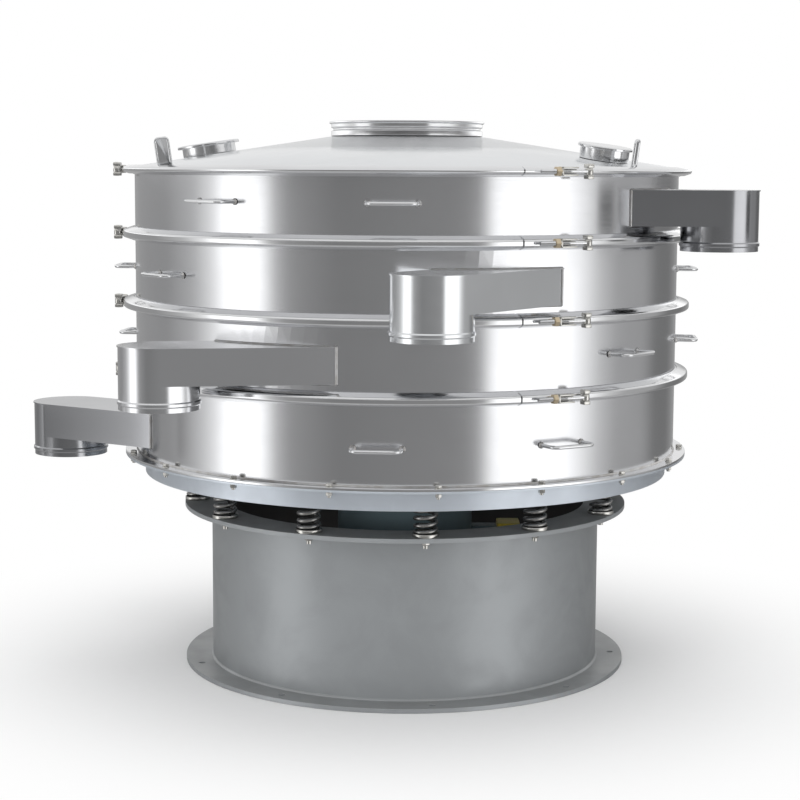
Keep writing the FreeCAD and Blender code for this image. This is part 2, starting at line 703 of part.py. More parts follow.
def rod_loop(body, name, path_role, start, near, width, reach, rod, bend):
    """Bend a round rod into a U: two legs from a start line and a crossing bar."""
    wide = size(width) / 2
    far = near + size(reach) - size(rod) / 2
    turn = size(bend)
    path = new_sketch(body, f"{name}_path", path_role)
    leg = far - turn
    left = FreeCAD.Vector(-wide, near, 0)
    right = FreeCAD.Vector(wide, near, 0)
    up = FreeCAD.Vector(0, 0, 1)
    left_centre = FreeCAD.Vector(turn - wide, leg, 0)
    right_centre = FreeCAD.Vector(wide - turn, leg, 0)
    path.addGeometry(Part.LineSegment(left, FreeCAD.Vector(-wide, leg, 0)))
    path.addGeometry(Part.ArcOfCircle(Part.Circle(left_centre, up, turn), math.pi / 2, math.pi))
    path.addGeometry(Part.LineSegment(FreeCAD.Vector(turn - wide, far, 0), FreeCAD.Vector(wide - turn, far, 0)))
    path.addGeometry(Part.ArcOfCircle(Part.Circle(right_centre, up, turn), 0, math.pi / 2))
    path.addGeometry(Part.LineSegment(FreeCAD.Vector(wide, leg, 0), right))
    for first, first_end, second, second_end in ((0, 2, 1, 2), (1, 1, 2, 1), (2, 2, 3, 2), (3, 1, 4, 1)):
        path.addConstraint(Sketcher.Constraint("Coincident", first, first_end, second, second_end))
    side = half(width)
    crossing = f"{start} + sizes.{reach} - sizes.{rod} / 2"
    bent = f"{crossing} - sizes.{bend}"
    path.addConstraint(Sketcher.Constraint("Vertical", 0))
    path.addConstraint(Sketcher.Constraint("Horizontal", 2))
    path.addConstraint(Sketcher.Constraint("Vertical", 4))
    pin_point(path, 0, 1, f"0 - {side}", start)
    pin_along(path, 0, 2, bent)
    pin_point(path, 1, 3, f"sizes.{bend} - {side}", bent)
    pin_across(path, 2, 1, f"sizes.{bend} - {side}")
    pin_across(path, 2, 2, f"{side} - sizes.{bend}")
    pin_point(path, 3, 3, f"{side} - sizes.{bend}", bent)
    pin_along(path, 4, 1, bent)
    pin_along(path, 4, 2, start)
    if path_role == "XY_Plane":
        section = circles(body, f"{name}_section", "XZ_Plane",
                          [(f"0 - {side}", "0", f"sizes.{rod} / 2")], f"0 - ({start})")
    else:
        section = circles(body, f"{name}_section", "XY_Plane",
                          [(f"0 - {side}", "0", f"sizes.{rod} / 2")], start)
    pipe = body.newObject("PartDesign::AdditivePipe", name)
    pipe.Profile = section
    pipe.Spine = path
    return pipe


def make_lug(name, prefix):
    body = tilted_body(name, prefix, f"sizes.{prefix}_turn")
    rod_loop(body, f"{name}_loop", "XZ_Plane", "sizes.seat_gap", size("seat_gap"),
             "lug_width", "lug_height", "lug_rod", "lug_bend")
    side = half("lug_width")
    seat = "sizes.seat_gap"
    top = f"{seat} + sizes.lug_height - sizes.lug_rod / 2"
    shoulder = f"{top} - sizes.lug_bend"
    inset = f"{side} - sizes.lug_bend"
    web = polygon(body, f"{name}_web_side", "XZ_Plane", [
        (f"0 - {side}", seat), (side, seat), (side, shoulder), (inset, top),
        (f"0 - ({inset})", top), (f"0 - {side}", shoulder)])
    pad(body, web, f"{name}_web", "sizes.lug_plate", both_ways=True)
    keep(body)


# Handles: bent rods that stand out level from the frames, two pairs on each frame.
def make_handles(number, height, rise):
    leg_inside = "(sizes.handle_width - sizes.handle_rod) / 2"
    leg_foot = f"sqrt({SHELL} * {SHELL} - pow({leg_inside}; 2)) + sizes.seat_gap"
    loops = []
    for index in range(4):
        name = f"handle_{number}_{index + 1}"
        side = 1 if index % 2 else -1
        across = 180 * (index // 2)
        turn = f"180 + {across} + sizes.handles_{number}_azimuth + {side} * sizes.handle_pair_angle / 2"
        body = new_body(name, f"{height} + {rise}", turn)
        rod_loop(body, f"{name}_loop", "XY_Plane", leg_foot, size("shell_diameter") / 2,
                 "handle_width", "handle_reach", "handle_rod", "handle_bend")
        loops.append(body)
    group = document.addObject("Part::Compound", f"handles_{number}")
    group.Label = f"handles_{number}"
    group.Links = loops
    keep(group)


def stadium(body, name, half_width, length, offset="0"):
    """Sketch a duct's plan: a round end about the spout and two straight sides."""
    sketch = new_sketch(body, name, "XY_Plane", offset)
    wide = size("outlet_width") / 2
    far = size("shell_diameter") / 2
    up = FreeCAD.Vector(0, 0, 1)
    corners = [FreeCAD.Vector(0, -wide, 0), FreeCAD.Vector(far, -wide, 0),
               FreeCAD.Vector(far, wide, 0), FreeCAD.Vector(0, wide, 0)]
    for index in range(3):
        sketch.addGeometry(Part.LineSegment(corners[index], corners[index + 1]))
    round_end = Part.Circle(FreeCAD.Vector(0, 0, 0), up, wide)
    sketch.addGeometry(Part.ArcOfCircle(round_end, math.pi / 2, 3 * math.pi / 2))
    for first, first_end, second, second_end in ((0, 2, 1, 1), (1, 2, 2, 1), (2, 2, 3, 1), (3, 2, 0, 1)):
        sketch.addConstraint(Sketcher.Constraint("Coincident", first, first_end, second, second_end))
    sketch.addConstraint(Sketcher.Constraint("Horizontal", 0))
    sketch.addConstraint(Sketcher.Constraint("Horizontal", 2))
    pin_point(sketch, 3, 3, "0", "0")
    pin_across(sketch, 0, 1, "0")
    pin_across(sketch, 2, 2, "0")
    pin_across(sketch, 1, 1, length)
    pin_across(sketch, 1, 2, length)
    fix_radius(sketch, 3, half_width)
    return sketch


# Outlets: a covered duct that leaves its deck at a slant and turns down into a round spout.
def make_outlet(number, height, drop):
    azimuth = f"sizes.outlet_{number}_azimuth"
    reach = outlet_reach(number)
    body = new_body(f"outlet_{number}", f"{height} + sizes.duct_rise", duct_direction(number))
    body.setExpression("Placement.Base.x", f"{reach} * sin({azimuth})")
    body.setExpression("Placement.Base.y", f"0 - {reach} * cos({azimuth})")
    wide = half("outlet_width")
    wall = "sizes.outlet_sheet"
    bore = f"{wide} - {wall}"
    tall = "sizes.duct_height"
    length = f"{reach} * cos(sizes.outlet_{number}_skew)"
    pad(body, stadium(body, f"duct_{number}_plan", wide, length), f"duct_{number}", tall)
    cover = stadium(body, f"cover_{number}_plan", f"{wide} + sizes.duct_lip", length, tall)
    pad(body, cover, f"cover_{number}", wall, downwards=True)
    spout = circles(body, f"spout_{number}_round", "XY_Plane", [("0", "0", wide)])
    pad(body, spout, f"spout_{number}", drop, downwards=True)
    bead = f"sizes.bead_rise - {drop}"
    revolve(body, f"bead_{number}", [
        (bore, f"{bead} - sizes.bead_height / 2"), (wide, f"{bead} - sizes.bead_height / 2"),
        (f"{wide} + sizes.bead_proud", f"{bead} - sizes.bead_height / 4"),
        (f"{wide} + sizes.bead_proud", f"{bead} + sizes.bead_height / 4"),
        (wide, f"{bead} + sizes.bead_height / 2"), (bore, f"{bead} + sizes.bead_height / 2")])
    hollow = stadium(body, f"hollow_{number}_plan", bore, length, f"{tall} - {wall}")
    pocket(body, hollow, f"hollow_{number}", f"{tall} - 2 * {wall}")
    throat = circles(body, f"throat_{number}_round", "XY_Plane", [("0", "0", bore)], wall)
    pocket(body, throat, f"throat_{number}", f"{drop} + {wall}")
    axis_along = length
    axis_aside = f"sizes.outlet_{number}_hand * {reach} * sin(sizes.outlet_{number}_skew)"
    shell_round = circles(body, f"shell_{number}_round", "XY_Plane",
                          [(axis_along, axis_aside, FLANGE_BORE)], f"{tall} + sizes.duct_lip")
    pocket(body, shell_round, f"shell_{number}_hollow", f"{tall} + 2 * sizes.duct_lip")
    keep(body)


make_base()
make_springs()
make_vibrating_frame()
make_drive()
make_frames()
make_screens()
make_band(1, LID_RING, "lid_band_web", "lid_band_height", "lid_band_lip_gap")
make_band(2, RING_2, "band_web", "band_height", "band_lip_gap")
make_band(3, RING_3, "band_web", "band_height", "band_lip_gap")
make_band(4, RING_4, "band_web", "band_height", "band_lip_gap")
for ring, ring_height in enumerate((LID_RING, RING_2, RING_3, RING_4), start=1):
    make_clamp_bolts(ring, ring_height)
make_lid()
make_port("inspection_port_left", "left_port")
make_port("inspection_port_right", "right_port")
make_lug("lifting_lug_left", "left_lug")
make_lug("lifting_lug_right", "right_lug")
for deck, deck_height in enumerate((RING_2, RING_3, RING_4, FRAME_TOP), start=1):
    low = "low_" if deck == 4 else ""
    make_outlet(deck, deck_height, f"sizes.{low}spout_drop")
    make_handles(deck, deck_height, f"sizes.{low}handle_rise")
document.recompute()

for part in document.Objects:
    if "Invalid" in part.State or "Error" in part.State:
        raise RuntimeError(f"{part.Label} did not build")
for part in nodes:
    if part.Shape.isNull() or not part.Shape.isValid():
        raise RuntimeError(f"{part.Label} has no sound solid")

os.makedirs("parts", exist_ok=True)
for part in nodes:
    part.Shape.exportStep(f"parts/{part.Label}.step")
    print(part.Label, len(part.Shape.Solids), round(part.Shape.Volume))
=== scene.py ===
import math

import bmesh
import bpy
from bmesh.types import BMEdge, BMVert
from bpy.props import FloatProperty, FloatVectorProperty, IntProperty, PointerProperty
from bpy.types import NodeSocket, Operator, Panel, PropertyGroup, Scene
from mathutils import Matrix, Vector


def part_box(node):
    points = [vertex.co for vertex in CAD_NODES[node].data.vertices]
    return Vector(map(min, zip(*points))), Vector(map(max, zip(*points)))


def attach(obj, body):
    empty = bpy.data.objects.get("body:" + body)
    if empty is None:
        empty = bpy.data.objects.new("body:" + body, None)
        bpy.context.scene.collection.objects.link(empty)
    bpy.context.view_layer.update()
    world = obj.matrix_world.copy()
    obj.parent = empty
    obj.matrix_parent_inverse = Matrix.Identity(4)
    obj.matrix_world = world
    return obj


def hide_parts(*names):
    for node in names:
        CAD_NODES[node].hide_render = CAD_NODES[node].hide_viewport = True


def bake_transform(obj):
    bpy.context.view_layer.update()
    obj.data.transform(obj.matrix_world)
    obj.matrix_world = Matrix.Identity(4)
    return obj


bl_info = {
    "name": "Round vibrating screen",
    "version": (1, 0, 0),
    "blender": (4, 5, 0),
    "location": "3D View > Sidebar > Screen",
    "description": "Dresses a stacked round vibrating screen on a sprung pedestal",
    "category": "Add Mesh",
}

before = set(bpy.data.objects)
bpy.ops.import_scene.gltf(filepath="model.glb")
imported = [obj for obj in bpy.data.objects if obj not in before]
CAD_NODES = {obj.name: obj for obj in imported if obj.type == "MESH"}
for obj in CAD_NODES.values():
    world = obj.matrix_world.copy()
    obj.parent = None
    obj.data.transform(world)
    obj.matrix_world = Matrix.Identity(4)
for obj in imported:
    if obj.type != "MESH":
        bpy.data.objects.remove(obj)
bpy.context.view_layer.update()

FULL_TURN = 2 * math.pi
SHARP_ANGLE = math.radians(32)
AROUND = 192
WELD_BULGE = 0.55


def reach(node):
    """Return a round node's outer radius."""
    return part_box(node)[1].x


def floor_of(node):
    """Return a node's lowest height."""
    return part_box(node)[0].z


def top_of(node):
    """Return a node's highest height."""
    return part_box(node)[1].z


def middle_of(node):
    """Return the height half way up a node."""
    low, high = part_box(node)
    return (low.z + high.z) / 2


# Settings that a user would change.

def length(label, text, default):
    """A length setting in metres."""
    return FloatProperty(name=label, description=text, default=default, min=0.0, unit="LENGTH")


def power(label, text, default):
    """A lamp's power setting in watts."""
    return FloatProperty(name=label, description=text, default=default, min=0.0, unit="POWER")


def angle(label, text, degrees):
    """An angle setting."""
    return FloatProperty(name=label, description=text, default=math.radians(degrees),
                         subtype="ANGLE")


def number_of(label, text, default):
    """A setting for how many stand in a circle."""
    return IntProperty(name=label, description=text, default=default, min=3)


def colour(label, text, default):
    """A colour setting."""
    return FloatVectorProperty(name=label, description=text, default=default, size=3,
                               min=0.0, max=1.0, subtype="COLOR")


def share(label, text, default):
    """A setting between 0 and 1."""
    return FloatProperty(name=label, description=text, default=default, min=0.0, max=1.0,
                         subtype="FACTOR")


class SpringSettings(PropertyGroup):
    """Sizes of the coil springs and their seats."""
    count: number_of("Springs", "Springs round the pedestal", 12)
    start: angle("First spring", "Azimuth of the first spring", 5)
    circle: length("Circle", "Radius of the circle that the springs stand on", 0.585)
    outside: length("Outside", "Outer radius of a coil", 0.032)
    wire: length("Wire", "Radius of the spring wire", 0.006)
    seat_wall: length("Seat wall", "Wall of the cup round a spring's end", 0.002)
    seat_height: length("Seat height", "Height of the cup round a spring's end", 0.009)


class FastenerSettings(PropertyGroup):
    """Sizes of the flange bolts and the clamp bolts."""
    flange_bolts: number_of("Flange bolts", "Bolts round the lowest flange", 18)
    flange_start: angle("First flange bolt", "Azimuth of the first bolt", 5.9)
    flange_circle: length("Flange bolt circle", "Radius of the circle of flange bolts", 0.7685)
    bolt_across: length("Bolt head", "Width of a flange bolt's head across its flats", 0.0145)
    bolt_height: length("Bolt head height", "Height of a flange bolt's head", 0.0068)
    clamp_rod: length("Clamp bolt", "Radius of a swinging clamp bolt", 0.006)
    clamp_pitch: length("Thread pitch", "Distance between two turns of the thread", 0.0022)
    clamp_nut: length("Clamp nut", "Width of the clamp nut across its flats", 0.022)


class GripSettings(PropertyGroup):
    """Sizes of the hand grips."""
    grip_rod: length("Grip rod", "Radius of a hand grip's rod", 0.005)
    grip_bend: length("Grip bend", "Radius of a hand grip's bends", 0.018)


class FinishSettings(PropertyGroup):
    """Colours of the finishes."""
    sheet: colour("Sheet steel", "Rolled stainless sheet", (0.70, 0.705, 0.72))
    band: colour("Band steel", "Polished clamp bands", (0.76, 0.765, 0.775))
    lid: colour("Lid steel", "Satin sheet of the lid", (0.77, 0.785, 0.80))
    base: colour("Pedestal paint", "Silver-grey paint of the pedestal", (0.28, 0.293, 0.302))
    # The inside colour is near-black: painted shade inside the pedestal, with a little real dust
    # on top.
    inside: colour("Inside paint", "Near-black paint inside the pedestal, as painted shade", (0.022, 0.021, 0.020))
    rim: colour("Rim paint", "Silver-blue paint of the vibrating frame", (0.52, 0.56, 0.61))
    motor: colour("Motor paint", "Dark paint of the motor and its tube", (0.13, 0.18, 0.20))
    terminal: colour("Terminal box paint", "Yellow paint of the terminal box", (0.72, 0.56, 0.06))
    spring: colour("Spring steel", "Dark oiled spring wire", (0.34, 0.335, 0.325))
    plated: colour("Plated steel", "Brackets and pins of the clamps", (0.62, 0.61, 0.58))
    nut: colour("Clamp nuts", "Yellow passivated nuts", (0.62, 0.52, 0.37))
    gasket: colour("Gasket", "Pale rubber of the lid's seal", (0.62, 0.62, 0.60))
    # The duct tone is darker than the sheet: painted shade for the darker reflections of outlets 1
    # and 4.
    duct: colour("Duct steel", "Sheet of the two outer outlets, darkened as painted shade", (0.40, 0.405, 0.42))
    cloth: colour("Screen cloth", "Woven wire cloth", (0.46, 0.46, 0.45))
    sheet_roughness: share("Sheet roughness", "Roughness of the rolled sheet", 0.16)
    band_roughness: share("Band roughness", "Roughness of the polished bands", 0.11)


class StageSettings(PropertyGroup):
    """The floor, the lamps and the camera."""
    floor: colour("Floor", "Pale plain floor", (0.86, 0.86, 0.86))
    key_power: power("Key lamp", "Power of the lamp above the front", 60.0)
    front_power: power("Front lamp", "Power of the low lamp in front", 80.0)
    top_power: power("Top lamp", "Power of the wide lamp overhead", 60.0)
    camera_place: FloatVectorProperty(name="Camera", description="Place of the camera", size=3,
                                      default=(-0.01536, -5.29265, 1.37852),
                                      subtype="TRANSLATION")
    camera_tilt: angle("Camera tilt", "How far the camera looks down", 7.0)
    camera_roll: angle("Camera roll", "Turn of the camera about its view", 0.28)
    camera_lens: FloatProperty(name="Lens", description="Focal length in millimetres",
                               default=84.94, min=1.0)


# Node groups and finishes.

def feed(tree, node, inputs):
    """Give a node's inputs their values or links, and return the node."""
    for key, value in inputs.items():
        if isinstance(value, NodeSocket):
            tree.links.new(value, node.inputs[key])
        else:
            node.inputs[key].default_value = value
    return node


def add_node(tree, kind, inputs=None, **settings):
    """Add a shader node with its settings and its inputs."""
    made = tree.nodes.new(f"ShaderNode{kind}")
    for key, value in settings.items():
        setattr(made, key, value)
    return feed(tree, made, inputs or {})


def arithmetic(tree, operation, first, second=0.0):
    """Return the result of a sum."""
    return add_node(tree, "Math", {0: first, 1: second}, operation=operation).outputs[0]


def times(tree, first, second):
    """Return two numbers multiplied."""
    return arithmetic(tree, "MULTIPLY", first, second)


def remapped(tree, value, low, high, new_low=0.0, new_high=1.0, smooth=False):
    """Map a value from one range to another and return it."""
    return add_node(tree, "MapRange", {
        "Value": value, "From Min": low, "From Max": high, "To Min": new_low, "To Max": new_high},
        interpolation_type="SMOOTHSTEP" if smooth else "LINEAR").outputs["Result"]


def here(tree):
    """Return the place on the object."""
    return add_node(tree, "TexCoord").outputs["Object"]


def split(tree, vector):
    """Return a vector's X, Y and Z."""
    return add_node(tree, "SeparateXYZ", {0: vector}).outputs


def distance(tree, vector):
    """Return a vector's length."""
    return add_node(tree, "VectorMath", {0: vector}, operation="LENGTH").outputs["Value"]


def noise(tree, place, scale, detail, roughness=0.5, distortion=0.0):
    """Add a noise texture and return its value."""
    return add_node(tree, "TexNoise", {
        "Vector": place, "Scale": scale, "Detail": detail, "Roughness": roughness,
        "Distortion": distortion}).outputs["Fac"]


def bumped(tree, height, strength, depth):
    """Return the bump that a height gives."""
    return add_node(tree, "Bump", {
        "Height": height, "Strength": strength, "Distance": depth}).outputs["Normal"]


def camera_sees(tree):
    """Return 1 for rays that the camera sees, straight or through something clear."""
    rays = add_node(tree, "LightPath").outputs
    return arithmetic(tree, "MAXIMUM", rays["Is Camera Ray"], rays["Is Transmission Ray"])


GROUPS = {}
FINISHES = {}


def start_group(name, inputs, outputs):
    """Start a node group and return its tree, what it is given and its result."""
    tree = bpy.data.node_groups.new(name, "ShaderNodeTree")
    GROUPS[name] = tree
    for label, value in inputs.items():
        tree.interface.new_socket(name=label, in_out="INPUT",
                                  socket_type="NodeSocketFloat").default_value = value
    for label in outputs:
        tree.interface.new_socket(name=label, in_out="OUTPUT", socket_type="NodeSocketFloat")
    return tree, tree.nodes.new("NodeGroupInput").outputs, tree.nodes.new("NodeGroupOutput")


def make_round_grain():
    """Fine lines that run round the machine's axis, as rolling and polishing leave them."""
    tree, given, result = start_group("round_grain", {"Around": 6.0, "Fineness": 420.0}, ["Grain"])
    place = here(tree)
    along = split(tree, place)
    turn = arithmetic(tree, "ARCTAN2", along["Y"], along["X"])
    vector = add_node(tree, "CombineXYZ", {
        "X": times(tree, turn, given["Around"]),
        "Y": times(tree, distance(tree, place), 3.0),
        "Z": times(tree, along["Z"], given["Fineness"])})
    feed(tree, result, {"Grain": noise(tree, vector.outputs[0], 1.0, 3.0, 0.6)})


def make_smudges():
    """Wide soft patches, as handling and cleaning leave them."""
    tree, given, result = start_group("smudges", {"Size": 5.0}, ["Mask"])
    patches = noise(tree, here(tree), given["Size"], 4.0, 0.55, 0.4)
    feed(tree, result, {"Mask": remapped(tree, patches, 0.36, 0.68, smooth=True)})


def make_settled_dust():
    """Dust that lies on faces that look up."""
    tree, given, result = start_group("settled_dust", {"Amount": 0.5}, ["Mask"])
    normal = add_node(tree, "NewGeometry").outputs["Normal"]
    lying = remapped(tree, split(tree, normal)["Z"], 0.3, 0.95, smooth=True)
    patchy = remapped(tree, noise(tree, here(tree), 14.0, 5.0, 0.6), 0.3, 0.7, 0.25, 1.0)
    settled = times(tree, lying, patchy)
    feed(tree, result, {"Mask": times(tree, settled, given["Amount"])})


def make_paint_skin():
    """The fine orange peel of sprayed paint."""
    tree, given, result = start_group("paint_skin", {"Fineness": 320.0}, ["Height"])
    feed(tree, result, {"Height": noise(tree, here(tree), given["Fineness"], 2.0)})


def make_wire_weave():
    """Crossing wires of a plain weave: their height, and the gaps between them."""
    tree, given, result = start_group("wire_weave", {"Pitch": 0.006}, ["Height", "Gap"])
    place = split(tree, here(tree))
    step = arithmetic(tree, "DIVIDE", math.pi, given["Pitch"])
    warp, weft = (
        arithmetic(tree, "ABSOLUTE", arithmetic(
            tree, "SINE", times(tree, place[way], step))) for way in "XY")
    height = arithmetic(tree, "MAXIMUM", warp, weft)
    gap = remapped(tree, height, 0.55, 0.8, 1.0, 0.0, smooth=True)
    feed(tree, result, {"Height": height, "Gap": gap})


def effect(tree, name, **values):
    """Place a shared group in a material and return its outputs."""
    return add_node(tree, "Group", values, node_tree=GROUPS[name]).outputs


def start_finish(name):
    """Start a material and return its node tree and its Principled shader."""
    finish = bpy.data.materials.new(name)
    finish.use_nodes = True
    FINISHES[name] = finish
    return finish.node_tree, finish.node_tree.nodes["Principled BSDF"]


def tinted(tree, mask, plain, worn):
    """Mix a colour, given as a value or a link, with another by a mask."""
    if not isinstance(plain, NodeSocket):
        plain = (*plain, 1.0)
    return add_node(tree, "Mix", {"Factor": mask, 6: plain, 7: (*worn, 1.0)},
                    data_type="RGBA").outputs[2]


def darker(tone, amount):
    """Return a colour made darker by a share."""
    return tuple(channel * (1 - amount) for channel in tone)


def make_steel(name, tone, roughness, fineness=420.0, around=6.0):
    """Bare steel with round grain and soft cleaning marks."""
    spread = 0.02
    tree, shader = start_finish(name)
    grain = effect(tree, "round_grain", Around=around, Fineness=fineness)["Grain"]
    marks = effect(tree, "smudges", Size=3.5)["Mask"]
    lined = remapped(tree, grain, 0.3, 0.7, roughness - spread, roughness + spread)
    feed(tree, shader, {
        "Metallic": 1.0, "Base Color": tinted(tree, marks, tone, darker(tone, 0.05)),
        "Roughness": arithmetic(tree, "ADD", lined, times(tree, marks, spread)),
        "Normal": bumped(tree, grain, 0.02, 0.0004)})


def make_paint(name, tone, roughness, dust=0.25, dust_tone=(0.36, 0.34, 0.31), silver=0.0):
    """Sprayed paint with orange peel, worn patches and settled dust."""
    tree, shader = start_finish(name)
    skin = effect(tree, "paint_skin", Fineness=260.0)["Height"]
    marks = effect(tree, "smudges", Size=6.0)["Mask"]
    dusty = effect(tree, "settled_dust", Amount=dust)["Mask"]
    coat = tinted(tree, marks, tone, darker(tone, 0.10))
    worn = remapped(tree, marks, 0.0, 1.0, roughness, roughness + 0.1)
    feed(tree, shader, {
        "Metallic": silver, "Base Color": tinted(tree, dusty, coat, dust_tone),
        "Roughness": arithmetic(tree, "ADD", worn, times(tree, dusty, 0.35)),
        "Normal": bumped(tree, skin, 0.12, 0.0005)})


def make_weld():
    """Rippled weld metal with a little heat tint."""
    tree, shader = start_finish("weld_metal")
    marks = effect(tree, "smudges", Size=40.0)["Mask"]
    ripples = noise(tree, here(tree), 220.0, 2.0)
    feed(tree, shader, {
        "Metallic": 1.0,
        "Base Color": tinted(tree, marks, (0.60, 0.60, 0.60), (0.48, 0.46, 0.44)),
        "Roughness": remapped(tree, ripples, 0.3, 0.7, 0.3, 0.5),
        "Normal": bumped(tree, ripples, 0.5, 0.0006)})


def make_cloth_finish(tone):
    """Woven wire cloth whose gaps are painted near-black: painted shade seen through the holes."""
    tree, shader = start_finish("wire_cloth")
    weave = effect(tree, "wire_weave", Pitch=0.006)
    marks = effect(tree, "smudges", Size=4.0)["Mask"]
    wires = tinted(tree, marks, tone, darker(tone, 0.15))
    feed(tree, shader, {
        # The gaps take a near-black colour: painted shade where the holes are.
        "Metallic": 1.0, "Base Color": tinted(tree, weave["Gap"], wires, (0.02, 0.02, 0.02)),
        "Roughness": remapped(tree, weave["Gap"], 0.0, 1.0, 0.35, 0.9),
        "Normal": bumped(tree, weave["Height"], 0.7, 0.002)})


def make_rubber(tone):
    """Matt rubber with a fine skin."""
    tree, shader = start_finish("gasket_rubber")
    skin = effect(tree, "paint_skin", Fineness=500.0)["Height"]
    marks = effect(tree, "smudges", Size=8.0)["Mask"]
    feed(tree, shader, {
        "Base Color": tinted(tree, marks, tone, darker(tone, 0.12)),
        "Roughness": remapped(tree, marks, 0.0, 1.0, 0.5, 0.62),
        "Normal": bumped(tree, skin, 0.15, 0.0003)})


# Shapes.

def only(items, kind):
    """Return the items of one kind, such as the points."""
    return [item for item in items if isinstance(item, kind)]


def since(shape, before):
    """Return the points that a shape has and hadn't before."""
    return [point for point in shape.verts if point not in before]


def edges_at(points):
    """Return the edges that touch some points."""
    return list({edge for point in points for edge in point.link_edges})


def points_of(edges):
    """Return the points of some edges."""
    return list({point for edge in edges for point in edge.verts})


def rounded(shape, parts, size, segments=2, affect="EDGES"):
    """Round edges or corners off."""
    bmesh.ops.bevel(shape, geom=parts, offset=size, segments=segments, profile=0.5,
                    affect=affect, material=-1, clamp_overlap=True)


def moved(shape, points, *steps):
    """Apply matrices to points, in order."""
    for step in steps:
        bmesh.ops.transform(shape, matrix=step, verts=points)


def turned_to(azimuth):
    """Turn from the front to an azimuth about the machine's axis."""
    return Matrix.Rotation(azimuth, 4, "Z")


def all_round(start, count):
    """Turns from the front to evenly spaced azimuths."""
    return [turned_to(start + FULL_TURN * number / count) for number in range(count)]


def shifted(x, y, z):
    """Move by a distance along each axis."""
    return Matrix.Translation((x, y, z))


def cap_ends(shape, edges):
    """Close the open ends among some edges."""
    ends = [edge for edge in edges if edge.is_boundary]
    bmesh.ops.holes_fill(shape, edges=ends, sides=0)


def painted(points, finish):
    """Give the faces at some points a finish, and return the points."""
    for point in points:
        for face in point.link_faces:
            face.material_index = finish
    return points


def turned_shape(shape, outline, rounding=0.0, steps=AROUND, start=0.0, sweep=FULL_TURN,
                 segments=2, finish=0):
    """Turn a closed outline of (radius, height) corners about the upright axis.

    The rounding is one size, or one for each corner.
    """
    earlier = set(shape.faces)
    corners = [shape.verts.new((radius, 0.0, height)) for radius, height in outline]
    shape.faces.new(corners)
    sizes = rounding if isinstance(rounding, tuple) else (rounding,) * len(corners)
    for offset in sorted(set(sizes) - {0.0}):
        chosen = [corner for corner, size in zip(corners, sizes) if size == offset]
        rounded(shape, chosen, offset, segments, "VERTICES")
    face = next(face for face in shape.faces if face not in earlier)
    loop = list(face.edges)
    bmesh.ops.delete(shape, geom=[face], context="FACES_ONLY")
    points = points_of(loop)
    moved(shape, points, turned_to(start))
    whole = abs(sweep - FULL_TURN) < 1e-6
    before = set(shape.verts)
    bmesh.ops.spin(shape, geom=loop + points, cent=(0, 0, 0), axis=(0, 0, 1), angle=sweep,
                   steps=steps, use_merge=whole)
    made = since(shape, before) + points
    if not whole:
        cap_ends(shape, edges_at(made))
    return painted(made, finish)


def turned_disc(shape, outline, steps, finish=0):
    """Turn an open outline that ends on the axis, and close it there."""
    corners = [shape.verts.new((radius, 0.0, height)) for radius, height in outline]
    edges = [shape.edges.new(pair) for pair in zip(corners, corners[1:])]
    before = set(shape.verts)
    bmesh.ops.spin(shape, geom=edges + corners, cent=(0, 0, 0), axis=(0, 0, 1), angle=FULL_TURN,
                   steps=steps, use_merge=True)
    made = since(shape, before) + corners
    bmesh.ops.remove_doubles(shape, verts=made, dist=1e-6)
    return painted([vert for vert in made if vert.is_valid], finish)


def block_shape(shape, low, high, rounding):
    """Make a block between two corners, with rounded edges."""
    low, high = Vector(low), Vector(high)
    cube = bmesh.ops.create_cube(shape, size=1.0)["verts"]
    moved(shape, cube, Matrix.Diagonal((*(high - low), 1.0)), shifted(*(low + high) / 2))
    before = set(shape.verts) - set(cube)
    rounded(shape, edges_at(cube), rounding)
    return painted(since(shape, before), 0)


def hexagon_shape(shape, across, height, chamfer=0.0012, finish=0):
    """Make a standing hexagonal nut or bolt head with its corners turned off."""
    before = set(shape.verts)
    ring = bmesh.ops.create_circle(shape, cap_ends=True, radius=across / math.sqrt(3), segments=6)
    face = ring["verts"][0].link_faces[0]
    raised = bmesh.ops.extrude_face_region(shape, geom=[face])["geom"]
    moved(shape, only(raised, BMVert), shifted(0, 0, height))
    level = [edge for edge in edges_at(since(shape, before))
             if abs(edge.verts[0].co.z - edge.verts[1].co.z) < 1e-6]
    rounded(shape, level, chamfer, segments=1)
    return painted(since(shape, before), finish)


def upright_ring(shape, radius, sides, place):
    """Make a ring that stands across Y at a place, and return its edges."""
    ring = bmesh.ops.create_circle(shape, cap_ends=False, radius=radius, segments=sides)["verts"]
    moved(shape, ring, Matrix.Rotation(math.pi / 2, 4, "X"), shifted(*place))
    return edges_at(ring)


def rod_shape(shape, radius, legs, width, bend, sides=14, turn_steps=7):
    """Bend a round rod into a U: legs along Y, crossing bar along X, open at -Y."""
    before = set(shape.verts)

    def drawn(edges, way):
        grown = bmesh.ops.extrude_edge_only(shape, edges=edges)["geom"]
        moved(shape, only(grown, BMVert), shifted(*way))
        return only(grown, BMEdge)

    def turned(edges, centre):
        grown = bmesh.ops.spin(shape, geom=edges + points_of(edges), cent=centre,
                               axis=(0, 0, -1), angle=math.pi / 2, steps=turn_steps)
        return only(grown["geom_last"], BMEdge)

    edges = upright_ring(shape, radius, sides, (-width / 2, 0, 0))
    edges = drawn(edges, (0, legs - bend, 0))
    edges = turned(edges, (-width / 2 + bend, legs - bend, 0))
    edges = drawn(edges, (width - 2 * bend, 0, 0))
    edges = turned(edges, (width / 2 - bend, legs - bend, 0))
    drawn(edges, (0, bend - legs, 0))
    made = since(shape, before)
    cap_ends(shape, edges_at(made))
    return painted(made, 0)


